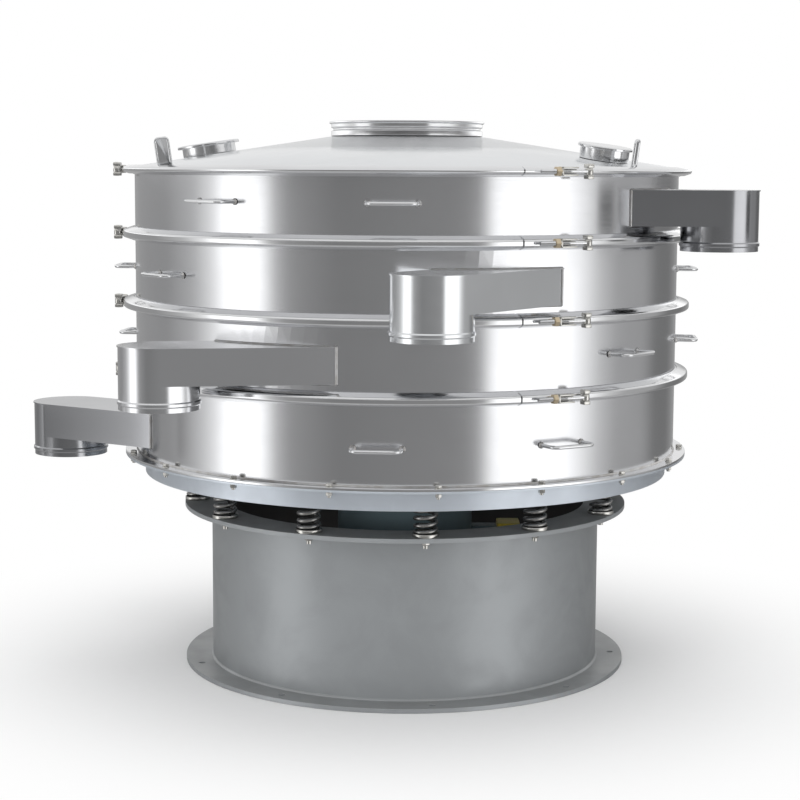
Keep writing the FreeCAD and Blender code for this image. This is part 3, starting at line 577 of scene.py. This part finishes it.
def repeated(unit, places):
    """Copy one small shape to many places, and free it."""
    mesh = bpy.data.meshes.new("unit")
    unit.to_mesh(mesh)
    unit.free()
    shape = bmesh.new()
    for place in places:
        before = len(shape.verts)
        shape.from_mesh(mesh)
        shape.verts.ensure_lookup_table()
        bmesh.ops.transform(shape, matrix=place, verts=shape.verts[before:])
    bpy.data.meshes.remove(mesh)
    return shape


def add_object(name, data):
    """Add an object to the scene."""
    made = bpy.data.objects.new(name, data)
    bpy.context.scene.collection.objects.link(made)
    return made


def object_from(name, shape):
    """Add a shape to the scene as an object, and free it."""
    mesh = bpy.data.meshes.new(name)
    shape.to_mesh(mesh)
    shape.free()
    return add_object(name, mesh)


def finish_piece(name, shape, finishes, body="screen_head", replaces=(),
                 closed=True, flat=False):
    """Turn a shape into a piece that rides on a body and has its finishes.

    A flat piece's wide faces keep their own direction beside rounded edges.
    """
    if closed:
        bmesh.ops.recalc_face_normals(shape, faces=shape.faces)
    piece = object_from(name, shape)
    piece.data.shade_smooth()
    piece.data.set_sharp_from_angle(angle=SHARP_ANGLE)
    for finish in finishes:
        piece.data.materials.append(FINISHES[finish])
    if flat:
        piece.modifiers.new("flat_faces", "WEIGHTED_NORMAL").keep_sharp = True
    if body:
        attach(piece, body)
    if replaces:
        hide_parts(*replaces)
    return piece


def second_finish(piece, finish, chosen):
    """Give the faces that a test chooses a second finish."""
    piece.data.materials.append(FINISHES[finish])
    for face in piece.data.polygons:
        face.material_index = int(chosen(face))


def dressed_copy(node, finish, body="screen_head", rounding=0.0008):
    """Copy a CAD node, join its faces, round its edges and give it its finish."""
    shape = bmesh.new()
    shape.from_mesh(CAD_NODES[node].data)
    bmesh.ops.remove_doubles(shape, verts=shape.verts, dist=2e-6)
    bmesh.ops.dissolve_limit(shape, angle_limit=math.radians(0.3), verts=shape.verts,
                             edges=shape.edges, use_dissolve_boundaries=False)
    if rounding:
        rounded(shape, [edge for edge in shape.edges if len(edge.link_faces) == 2 and
                        edge.calc_face_angle(0.0) > SHARP_ANGLE], rounding)
    for face in shape.faces:
        face.material_index = 0
    return finish_piece(f"{node}_dressed", shape, [finish], body, (node,), closed=False,
                        flat=rounding > 0)


def weld_ring(shape, radius, height, size, upward=True):
    """Lay a fillet weld in the corner between an upright wall and a flat ring outside it."""
    rise = size if upward else -size
    turned_shape(shape, [
        (radius, height), (radius + size, height),
        (radius + size * WELD_BULGE, height + rise * WELD_BULGE), (radius, height + rise)])


# Operators, one for each group of pieces.

class MakeFinishes(Operator):
    """Make the node groups and the finishes"""
    bl_idname = "sieve.make_finishes"
    bl_label = "Make finishes"

    def execute(self, context):
        tones = context.scene.sieve_finishes
        for make in (make_round_grain, make_smudges, make_settled_dust, make_paint_skin,
                     make_wire_weave):
            make()
        make_steel("sheet_steel", tones.sheet, tones.sheet_roughness)
        # A darker copy of the sheet steel: painted shade for the darker reflections of outlets 1
        # and 4.
        make_steel("duct_steel_painted_shade", tones.duct, tones.sheet_roughness)
        make_steel("band_steel", tones.band, tones.band_roughness, fineness=700.0)
        make_steel("lid_steel", tones.lid, 0.18, fineness=60.0, around=40.0)
        make_steel("collar_steel", tones.band, 0.12, fineness=500.0)
        make_steel("spring_steel", tones.spring, 0.25, fineness=900.0, around=120.0)
        make_steel("plated_steel", tones.plated, 0.24, fineness=900.0, around=200.0)
        make_steel("rod_steel", tones.band, 0.18, fineness=900.0, around=60.0)
        make_steel("nut_steel", tones.nut, 0.30, fineness=900.0, around=200.0)
        make_paint("base_paint", tones.base, 0.36, dust=0.2, silver=0.35)
        # Heavier, darker dust on the flange's top face: partly real dust, partly painted shade
        # under the vibrating frame.
        make_paint("flange_paint_dust_and_shade", tones.base, 0.4, dust=0.5, silver=0.2,
                   dust_tone=(0.26, 0.25, 0.23))
        # Near-black inside finish: painted shade inside the pedestal, with real dust on top.
        make_paint("inner_painted_shade", tones.inside, 0.6, dust=0.2, dust_tone=(0.03, 0.03, 0.03))
        make_paint("rim_paint", tones.rim, 0.28, dust=0.3, silver=0.55)
        make_paint("motor_paint", tones.motor, 0.42, dust=0.4)
        make_paint("terminal_paint", tones.terminal, 0.4, dust=0.3)
        make_weld()
        make_cloth_finish(tones.cloth)
        make_rubber(tones.gasket)
        return {"FINISHED"}


class AddStage(Operator):
    """Add the floor, the lamps, the studio round them and the camera"""
    bl_idname = "sieve.add_stage"
    bl_label = "Add stage"

    def execute(self, context):
        settings = context.scene.sieve_stage
        make_floor(settings.floor)
        make_studio(context.scene)
        add_lamp("key_lamp", (-1.6, -4.4, 4.6), (0.0, 0.0, 0.8), (2.6, 2.0), settings.key_power)
        add_lamp("top_lamp", (0.4, 1.2, 5.2), (0.0, 0.0, 0.9), (4.2, 4.2), settings.top_power)
        add_lamp("front_lamp", (-0.9, -5.2, 0.9), (0.0, 0.0, 0.45), (1.8, 1.2),
                 settings.front_power)
        make_card("left_card", (-1.5, -0.34, 0.59), 0.22, 0.42, (0.24, 0.80))
        make_card("right_card", (1.6, -0.585, 1.25), 0.16, 0.21, (0.16, 0.16))
        make_high_band()
        add_camera(context.scene, settings)
        context.scene.view_settings.view_transform = "Standard"
        return {"FINISHED"}


def make_floor(tone):
    """A wide floor that fades to the white background away from the machine."""
    shape = bmesh.new()
    bmesh.ops.create_circle(shape, cap_ends=True, radius=30.0, segments=96)
    floor = object_from("floor", shape)
    floor.location.z = -0.0005
    tree, shader = start_finish("floor_paint")
    place = here(tree)
    patches = noise(tree, place, 30.0, 3.0)
    feed(tree, shader, {
        "Base Color": tinted(tree, patches, tone, darker(tone, 0.02)),
        "Roughness": 0.9, "Specular IOR Level": 0.1})
    fade = remapped(tree, distance(tree, place), 0.7, 1.7, smooth=True)
    mixed = add_node(tree, "MixShader", {
        0: times(tree, fade, camera_sees(tree)), 1: shader.outputs[0],
        2: add_node(tree, "Emission").outputs[0]})
    feed(tree, tree.nodes["Material Output"], {"Surface": mixed.outputs[0]})
    floor.data.materials.append(FINISHES["floor_paint"])
    floor.visible_glossy = False


# Azimuth in degrees from the front, and brightness there: soft boxes at the left and the right,
# grey cards ahead and behind.
STUDIO_RING = (
    (-180, 0.42), (-150, 0.36), (-118, 0.34), (-98, 0.55), (-86, 1.0), (-79, 1.75), (-62, 1.75),
    (-55, 0.60), (-48, 0.36), (-28, 0.24), (0, 0.27), (24, 0.30), (30.5, 0.40), (36, 1.60),
    (66, 1.75), (76, 1.25), (86, 0.70), (97, 0.45), (116, 0.42), (128, 0.22), (144, 0.20),
    (165, 0.40), (180, 0.42))


# Brightness overhead and underfoot, where the ring fades out.
STUDIO_TOP = 0.89
STUDIO_FLOOR = 0.5


def make_studio(scene):
    """White behind the machine for the camera, and a ring of soft boxes and cards round it."""
    world = bpy.data.worlds.new("studio")
    world.use_nodes = True
    scene.world = world
    tree = world.node_tree
    tree.nodes.clear()
    heading = add_node(tree, "TexCoord").outputs["Generated"]
    upward = split(tree, heading)["Z"]
    level = ring_level(tree, heading, STUDIO_RING)
    raised = remapped(tree, upward, 0.04, 0.14, smooth=True)
    lowered = remapped(tree, upward, -0.35, -0.7, smooth=True)
    topped = add_node(tree, "Mix", {0: raised, 2: level, 3: STUDIO_TOP}).outputs[0]
    whole = add_node(tree, "Mix", {0: lowered, 2: topped, 3: STUDIO_FLOOR}).outputs[0]
    white = (1.0, 1.0, 1.0, 1.0)
    lit = add_node(tree, "Background", {"Color": white, "Strength": whole})
    plain = add_node(tree, "Background", {"Color": white})
    mixed = add_node(tree, "MixShader", {
        0: camera_sees(tree), 1: lit.outputs[0], 2: plain.outputs[0]})
    add_node(tree, "OutputWorld", {"Surface": mixed.outputs[0]})


def add_glow(name, shape, level):
    """Add a glowing piece of the studio that shows only in reflections.

    The level is a function that returns the brightness at a place.
    """
    piece = object_from(name, shape)
    tree = start_finish(f"{name}_glow")[0]
    glow = add_node(tree, "Emission", {"Strength": level(tree, here(tree))})
    feed(tree, tree.nodes["Material Output"], {"Surface": glow.outputs[0]})
    piece.data.materials.append(FINISHES[f"{name}_glow"])
    for part in ("camera", "diffuse", "transmission"):
        setattr(piece, f"visible_{part}", False)


def make_card(name, place, height, width, levels):
    """A grey card across X that keeps a soft box out of an outlet."""
    def level(tree, point):
        start, end = place[1] + width / 2, place[1] - width / 2
        return remapped(tree, split(tree, point)["Y"], start, end, *levels)

    shape = bmesh.new()
    card = bmesh.ops.create_grid(shape, x_segments=1, y_segments=1, size=0.5)["verts"]
    moved(shape, card, Matrix.Diagonal((height, width, 1.0, 1.0)),
          Matrix.Rotation(math.pi / 2, 4, "Y"), shifted(*place))
    add_glow(name, shape, level)


# The same for the band that the lid's collar shows.
HIGH_BAND = (
    (-180, 0.60), (-136, 1.20), (-115, 1.80), (-98, 1.60), (-85, 0.80), (-62, 0.20), (-37, 0.14),
    (-10, 0.10), (20, 0.12), (55, 0.14), (82, 0.20), (98, 0.60), (116, 1.45), (143, 1.60),
    (165, 0.80), (180, 0.60))


def make_high_band():
    """A band of soft boxes and cards level with the collar."""
    foot, height = 1.455, 0.285
    shape = bmesh.new()
    ring = bmesh.ops.create_circle(shape, cap_ends=False, radius=3.0, segments=96)["verts"]
    moved(shape, ring, shifted(0, 0, foot))
    raised = bmesh.ops.extrude_edge_only(shape, edges=list(shape.edges))["geom"]
    moved(shape, only(raised, BMVert), shifted(0, 0, height))
    add_glow("high_band", shape, lambda tree, place: ring_level(tree, place, HIGH_BAND))


def ring_level(tree, heading, stops):
    """Brightness at a heading, from a list of azimuths and brightnesses."""
    ways = split(tree, heading)
    front = times(tree, ways["Y"], -1.0)
    azimuth = arithmetic(tree, "ARCTAN2", ways["X"], front)
    ring = add_node(tree, "ValToRGB", {0: remapped(tree, azimuth, -math.pi, math.pi)})
    ramp = ring.color_ramp
    brightest = max(value for turn, value in stops)
    while len(ramp.elements) < len(stops):
        ramp.elements.new(0.5)
    for element, (turn, value) in zip(ramp.elements, stops):
        element.position = (turn + 180) / 360
    for element, (turn, value) in zip(ramp.elements, stops):
        level = value / brightest
        element.color = (level, level, level * 1.01, 1.0)
    return times(tree, ring.outputs["Color"], brightest)


def add_lamp(name, place, target, size, watts):
    """Add a soft rectangular lamp that looks at a target."""
    lamp = bpy.data.lights.new(name, "AREA")
    lamp.shape = "RECTANGLE"
    lamp.size, lamp.size_y = size
    lamp.energy = watts
    holder = add_object(name, lamp)
    holder.location = place
    away = Vector(place) - Vector(target)
    holder.rotation_euler = away.to_track_quat("Z", "Y").to_euler()
    holder.visible_glossy = False


def add_camera(scene, settings):
    """Add the camera at the photograph's viewing angle."""
    lens = bpy.data.cameras.new("camera")
    lens.lens = settings.camera_lens
    lens.sensor_width = 36.0
    lens.clip_end = 100.0
    scene.camera = add_object("camera", lens)
    tilt = Matrix.Rotation(math.pi / 2 - settings.camera_tilt, 4, "X")
    roll = Matrix.Rotation(settings.camera_roll, 4, "Z")
    scene.camera.matrix_world = Matrix.Translation(settings.camera_place) @ tilt @ roll


class AddPedestal(Operator):
    """Dress the pedestal and add its welds and spring nuts"""
    bl_idname = "sieve.add_pedestal"
    bl_label = "Add pedestal"

    def execute(self, context):
        shell = dressed_copy("base_shell", "base_paint", "base", 0.0012)
        # Faces that look in toward the axis get the near-black inner finish: painted shade inside
        # the pedestal.
        second_finish(shell, "inner_painted_shade", lambda face: (
            face.normal.x * face.center.x + face.normal.y * face.center.y < 0))
        dressed_copy("base_bottom_flange", "base_paint", "base", 0.0012)
        dressed_copy("base_top_flange", "flange_paint_dust_and_shade", "base", 0.0012)
        outside, bead = reach("base_shell"), 0.005
        welds = bmesh.new()
        weld_ring(welds, outside, top_of("base_bottom_flange"), bead)
        weld_ring(welds, outside, floor_of("base_top_flange"), bead, upward=False)
        finish_piece("pedestal_welds", welds, ["base_paint"], "base")
        springs = context.scene.sieve_springs
        across, thick, tip = 0.019, 0.010, 0.009
        under = floor_of("base_top_flange")
        unit = bmesh.new()
        nut = hexagon_shape(unit, across, thick)
        moved(unit, nut, shifted(0, -springs.circle, under - thick))
        end = turned_shape(unit, [
            (0.007, 0.0), (0.007, 0.008), (0.0062, tip), (0.0, tip), (0.0, 0.0)], steps=16)
        moved(unit, end, shifted(0, -springs.circle, under - thick - tip))
        nuts = repeated(unit, all_round(springs.start, springs.count))
        finish_piece("spring_nuts", nuts, ["plated_steel"], "base")
        return {"FINISHED"}


class AddSprings(Operator):
    """Wind the springs and add their seats"""
    bl_idname = "sieve.add_springs"
    bl_label = "Add springs"

    def execute(self, context):
        springs = context.scene.sieve_springs
        bottom, top = floor_of("springs"), top_of("springs")
        turns = all_round(springs.start, springs.count)
        coil = bmesh.new()
        wind_coil(coil, springs.outside - springs.wire, springs.wire, bottom, top)
        stand = shifted(0, -springs.circle, 0)
        wound = repeated(coil, [turn @ stand for turn in turns])
        piece = finish_piece("coil_springs", wound, ["spring_steel"], None)
        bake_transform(piece)
        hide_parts("springs")
        clearance = 0.0008
        inner = springs.outside + clearance
        outer = inner + springs.seat_wall
        for name, body, low, high in (
                ("lower_spring_seats", "base", bottom, bottom + springs.seat_height),
                ("upper_spring_seats", "screen_head", top - springs.seat_height, top)):
            cup = bmesh.new()
            points = turned_shape(cup, [(inner, low), (outer, low), (outer, high), (inner, high)],
                                  rounding=0.0008, steps=40)
            moved(cup, points, stand)
            finish_piece(name, repeated(cup, turns), ["plated_steel"], body)
        return {"FINISHED"}


def wind_coil(shape, radius, wire, bottom, top, sides=12, steps=28):
    """Wind one spring with closed end turns about the upright axis."""
    edges = upright_ring(shape, wire, sides, (radius, 0, bottom + wire))
    climb = top - bottom - 2 * wire
    end_climb = 2 * wire * 1.05
    for count, rise in ((1.0, end_climb), (4.2, climb - 2 * end_climb), (1.0, end_climb)):
        parts = round(steps * count)
        grown = bmesh.ops.spin(shape, geom=edges + points_of(edges), cent=(0, 0, 0),
                               axis=(0, 0, 1), dvec=(0, 0, rise / parts),
                               angle=FULL_TURN * count, steps=parts)
        edges = only(grown["geom_last"], BMEdge)
    cap_ends(shape, shape.edges)


class AddVibratingFrame(Operator):
    """Dress the painted frame and add its flange bolts"""
    bl_idname = "sieve.add_vibrating_frame"
    bl_label = "Add vibrating frame"

    def execute(self, context):
        dressed_copy("vibrating_frame", "rim_paint", rounding=0.0012)
        dressed_copy("bottom_flange", "band_steel")
        sizes = context.scene.sieve_fasteners
        plate, washer, hole = 0.006, 0.0016, 0.004
        above = top_of("bottom_flange")
        under = floor_of("bottom_flange") - plate
        wide = sizes.bolt_across * 0.62
        unit = bmesh.new()
        for low in (above, under - washer):
            high = low + washer
            turned_shape(unit, [(hole, low), (wide, low), (wide, high), (hole, high)], steps=24)
        head = hexagon_shape(unit, sizes.bolt_across, sizes.bolt_height)
        moved(unit, head, shifted(0, 0, above + washer))
        nut_height = 0.009
        nut = hexagon_shape(unit, sizes.bolt_across, nut_height)
        moved(unit, nut, shifted(0, 0, under - washer - nut_height))
        tip = turned_shape(unit, [
            (0.0, -0.015), (0.0042, -0.015), (0.005, -0.0142), (0.005, -0.01), (0.0, -0.01)],
            steps=16)
        moved(unit, tip, shifted(0, 0, under))
        moved(unit, unit.verts, shifted(0, -sizes.flange_circle, 0))
        bolts = repeated(unit, all_round(sizes.flange_start, sizes.flange_bolts))
        finish_piece("flange_bolts", bolts, ["plated_steel"])
        return {"FINISHED"}


class AddDrive(Operator):
    """Dress the motor, its tube, its weight cover and its terminal box"""
    bl_idname = "sieve.add_drive"
    bl_label = "Add drive"

    def execute(self, context):
        for node in ("motor_tube", "drive_motor", "lower_weight_cover"):
            dressed_copy(node, "motor_paint", rounding=0.0015)
        box = dressed_copy("motor_terminal_box", "terminal_paint",
                           rounding=0.003)
        cover_depth = 0.066
        cover_start = reach("motor_terminal_box") - cover_depth
        second_finish(box, "motor_paint", lambda face: face.center.x < cover_start)
        return {"FINISHED"}


class AddDecks(Operator):
    """Dress the deck frames, their flanges, the pan and the screens"""
    bl_idname = "sieve.add_decks"
    bl_label = "Add decks"

    def execute(self, context):
        for number in range(1, 5):
            dressed_copy(f"frame_{number}", "sheet_steel", rounding=0.0)
            dressed_copy(f"ring_flanges_{number}", "band_steel", rounding=0.0006)
        dressed_copy("bottom_pan", "sheet_steel", rounding=0.0)
        for node in ("screen_upper", "screen_middle", "screen_lower"):
            dressed_copy(node, "wire_cloth", rounding=0.0)
        dressed_copy("lid_gasket", "gasket_rubber", rounding=0.0006)
        welds = bmesh.new()
        weld_ring(welds, reach("frame_4"), top_of("bottom_flange"), 0.0035)
        finish_piece("flange_weld", welds, ["weld_metal"])
        return {"FINISHED"}


# Azimuth in degrees of a band's first gap and of its first clamp bolt, and the bolts' radius.
BAND_SPLIT = 21
CLAMP_AZIMUTH = 28.7
CLAMP_CIRCLE = 0.798


class AddBands(Operator):
    """Fold the clamp bands, each in three lengths"""
    bl_idname = "sieve.add_bands"
    bl_label = "Add clamp bands"

    def execute(self, context):
        for number in range(1, 5):
            wide = number > 1
            make_band(number, web=0.017 if wide else 0.010, lip=0.757 if wide else 0.765)
        return {"FINISHED"}


def make_band(number, web, lip):
    """Fold one band: an upright web of some height and two slanting lips."""
    node = f"clamp_band_{number}"
    low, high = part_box(node)
    middle = middle_of(node)
    half = (high.z - low.z) / 2
    outer, sheet = 0.785, 0.0025
    slope = (half - web / 2) / (outer - lip)
    under = sheet * math.sqrt(1 + slope * slope)
    inner = outer - sheet
    inner_half = web / 2 + slope * sheet - under
    side = [(lip, half), (lip, half - under), (inner, inner_half), (inner, -inner_half),
            (lip, under - half), (lip, -half), (outer, -web / 2), (outer, web / 2)]
    shape = bmesh.new()
    gap = 0.002 / outer
    for part in range(3):
        turned_shape(shape, [(radius, middle + height) for radius, height in side],
                     rounding=(0.0007,) * 6 + (0.0045,) * 2, steps=AROUND // 3,
                     start=math.radians(BAND_SPLIT - 90 + 120 * part) + gap,
                     sweep=FULL_TURN / 3 - 2 * gap, segments=5)
    finish_piece(f"{node}_folded", shape, ["band_steel"], replaces=(node,))


class AddClampBolts(Operator):
    """Build the swinging clamp bolts with their nuts, saddles and pins"""
    bl_idname = "sieve.add_clamp_bolts"
    bl_label = "Add clamp bolts"

    def execute(self, context):
        sizes = context.scene.sieve_fasteners
        for number in range(1, 5):
            place = shifted(0, -CLAMP_CIRCLE, middle_of(f"clamp_band_{number}"))
            unit = bmesh.new()
            clamp_set(unit, sizes)
            sets = repeated(unit, [
                turn @ place for turn in all_round(math.radians(CLAMP_AZIMUTH), 3)])
            finish_piece(f"clamp_bolts_{number}_built", sets,
                         ["plated_steel", "nut_steel", "rod_steel"],
                         replaces=(f"clamp_bolts_{number}",))
        return {"FINISHED"}


def clamp_set(shape, sizes):
    """One clamp: the rod lies along X through the origin, the machine is at +Y."""
    along_x = Matrix.Rotation(math.pi / 2, 4, "Y")
    rod, pitch = sizes.clamp_rod, sizes.clamp_pitch
    tip, pivot, back, half = -0.071, 0.068, 0.0125, 0.011
    thread = [(0.0, tip), (rod * 0.75, tip)]
    place = tip + 0.0015
    while place < 0.010:
        thread += [(rod, place), (rod * 0.86, place + pitch / 2)]
        place += pitch
    thread += [(rod * 0.97, 0.012), (rod * 0.97, pivot - 0.008), (0.0, pivot - 0.008)]
    moved(shape, turned_disc(shape, thread, 18, finish=2), along_x)
    nut = hexagon_shape(shape, sizes.clamp_nut, 0.014, chamfer=0.0015, finish=1)
    moved(shape, nut, along_x, shifted(-0.030, 0, 0))
    wide, thick = 0.0118, 0.0022
    washer = turned_shape(shape, [(rod, 0.0), (wide, 0.0), (wide, thick), (rod, thick)],
                          rounding=0.0004, steps=28)
    moved(shape, washer, along_x, shifted(-0.016 - thick, 0, 0))
    # The saddle that the nut pulls on, its two cheeks, and the two plates that hold the pivot.
    block_shape(shape, (-0.016, -half, -half), (-0.012, back, half), 0.0012)
    for low, high in ((0.007, half), (-half, -0.007)):
        block_shape(shape, (-0.016, -half, low), (0.030, back, high), 0.0012)
    for low, high in ((0.0085, 0.0185), (-0.0185, -0.0085)):
        block_shape(shape, (pivot - 0.009, -0.009, low), (pivot + 0.009, back, high), 0.002)
    wide, tall = 0.0096, 0.0078
    eye = turned_shape(shape, [(0.0, -tall), (wide, -tall), (wide, tall), (0.0, tall)],
                       rounding=0.001, steps=28)
    wide, tall, chamfer = 0.006, 0.019, 0.0015
    pin = turned_disc(shape, [
        (0.0, -tall), (wide - chamfer, -tall), (wide, chamfer - tall), (wide, tall - chamfer),
        (wide - chamfer, tall), (0.0, tall)], 24)
    moved(shape, eye + pin, shifted(pivot, 0, 0))


class AddLid(Operator):
    """Turn the lid's cone, and dress its collar, ports and lugs"""
    bl_idname = "sieve.add_lid"
    bl_label = "Add lid"

    def execute(self, context):
        lip, sheet = 0.0107, 0.003
        edge, hole = reach("lid_cone"), reach("inlet_collar") - lip
        low, high = floor_of("lid_cone"), top_of("lid_cone")
        cone = bmesh.new()
        turned_shape(cone, [(hole, high), (hole, high - sheet), (edge, low), (edge, low + sheet)],
                     rounding=0.0006)
        finish_piece("lid_cone_turned", cone, ["lid_steel"], replaces=("lid_cone",))
        for node in ("inlet_collar", "inspection_port_left", "inspection_port_right"):
            dressed_copy(node, "collar_steel", rounding=0.0009)
        for node in ("lifting_lug_left", "lifting_lug_right"):
            dressed_copy(node, "rod_steel", rounding=0.0)
        return {"FINISHED"}


# Azimuth, distance from the axis, slant and hand of each outlet's duct, and its finish.
# Outlets 1 and 4 take the darker duct steel, which is painted shade for their darker reflections.
OUTLETS = {1: (63.8, 0.900, 25, -1, "duct_steel_painted_shade"), 2: (3.6, 0.919, 40, 1, "lid_steel"),
           3: (-40.9, 0.925, 40, 1, "sheet_steel"), 4: (-88, 0.941, 35, 1, "duct_steel_painted_shade")}
SHELL = 0.7503


def shell_crossing(azimuth, away, slant, hand, aside):
    """Azimuth at which a line along a duct, so far aside of its middle, meets the shells."""
    heading = math.radians(90 + azimuth - hand * slant)
    way = Vector((math.cos(heading), math.sin(heading)))
    start = Vector((0.0, -away))
    start.rotate(Matrix.Rotation(math.radians(azimuth), 2))
    start += aside * way.orthogonal()
    passed = start.dot(way)
    point = start - (passed + math.sqrt(passed ** 2 - start.length_squared + SHELL ** 2)) * way
    return math.atan2(point.x, -point.y)


class AddOutlets(Operator):
    """Dress the outlets and weld their ducts to the shells"""
    bl_idname = "sieve.add_outlets"
    bl_label = "Add outlets"

    def execute(self, context):
        tall, half_width, bead, sunk = 0.092, 0.1, 0.0035, 0.0003
        for number, (*duct, finish) in OUTLETS.items():
            node = f"outlet_{number}"
            dressed_copy(node, finish, rounding=0.0015)
            high = top_of(node)
            low = high - tall
            ends = sorted(shell_crossing(*duct, aside) for aside in (-half_width, half_width))
            welds = bmesh.new()
            for level, up in ((high, 1), (low, -1)):
                turned_shape(welds, [
                    (SHELL - sunk, level), (SHELL + bead, level),
                    (SHELL + 0.0019, level + up * 0.0019), (SHELL - sunk, level + up * bead)],
                    steps=24, start=ends[0] - math.pi / 2, sweep=ends[1] - ends[0])
            for end in ends:
                upright = turned_disc(welds, [
                    (0.0, low - 0.003), (0.0032, low), (0.0032, high), (0.0, high + 0.003)], 14)
                moved(welds, upright, shifted(0, -SHELL - 0.0008, 0), turned_to(end))
            finish_piece(f"{node}_welds", welds, ["weld_metal"])
        return {"FINISHED"}


class AddGrips(Operator):
    """Bend the hand grips and weld them on"""
    bl_idname = "sieve.add_grips"
    bl_label = "Add hand grips"

    def execute(self, context):
        sizes = context.scene.sieve_grips
        rod = sizes.grip_rod
        centres = {1: -20.9, 2: -72.15, 3: 66.05, 4: 12.9}
        width, depth, apart, shell, half_chord = 0.122, 0.062, 36.5, 0.750, 0.056
        foot = math.sqrt(shell ** 2 - half_chord ** 2) + 0.0003
        for number, centre in centres.items():
            unit = bmesh.new()
            rod_shape(unit, rod, depth - rod, width, sizes.grip_bend)
            for side in (-1, 1):
                collar = turned_shape(unit, [
                    (rod, 0.0), (0.0085, 0.0), (0.0072, 0.0022), (rod, 0.0045)], steps=24,
                    finish=1)
                moved(unit, collar, Matrix.Rotation(-math.pi / 2, 4, "X"),
                      shifted(side * width / 2, 0.0008, 0))
            moved(unit, unit.verts, Matrix.Rotation(math.pi, 4, "Z"),
                  shifted(0, -foot, middle_of(f"handles_{number}")))
            grips = repeated(unit, [
                turned_to(math.radians(centre + across + side * apart / 2))
                for across in (0, 180) for side in (-1, 1)])
            finish_piece(f"hand_grips_{number}", grips, ["rod_steel", "weld_metal"],
                         replaces=(f"handles_{number}",))
        return {"FINISHED"}


class SievePanel(Panel):
    """Lists the settings and the steps in the 3D view's sidebar"""
    bl_idname = "VIEW3D_PT_sieve"
    bl_label = "Round vibrating screen"
    bl_space_type = "VIEW_3D"
    bl_region_type = "UI"
    bl_category = "Screen"

    def draw(self, context):
        for step in STEPS:
            self.layout.operator(step.bl_idname)
        for name, group in SETTINGS.items():
            box = self.layout.box()
            for key in group.__annotations__:
                box.prop(getattr(context.scene, name), key)


SETTINGS = {
    "sieve_springs": SpringSettings, "sieve_fasteners": FastenerSettings,
    "sieve_grips": GripSettings, "sieve_finishes": FinishSettings, "sieve_stage": StageSettings}
STEPS = (MakeFinishes, AddStage, AddPedestal, AddSprings, AddVibratingFrame, AddDrive, AddDecks,
         AddBands, AddClampBolts, AddLid, AddOutlets, AddGrips)


def register():
    for item in (*SETTINGS.values(), *STEPS, SievePanel):
        bpy.utils.register_class(item)
    for name, group in SETTINGS.items():
        setattr(Scene, name, PointerProperty(type=group))


def unregister():
    for name in SETTINGS:
        delattr(Scene, name)
    for item in reversed((*SETTINGS.values(), *STEPS, SievePanel)):
        bpy.utils.unregister_class(item)


def main():
    """Register the classes and run the steps in order."""
    register()
    for step in STEPS:
        category, name = step.bl_idname.split(".")
        getattr(getattr(bpy.ops, category), name)()
    bpy.context.view_layer.update()


if __name__ == "__main__":
    main()
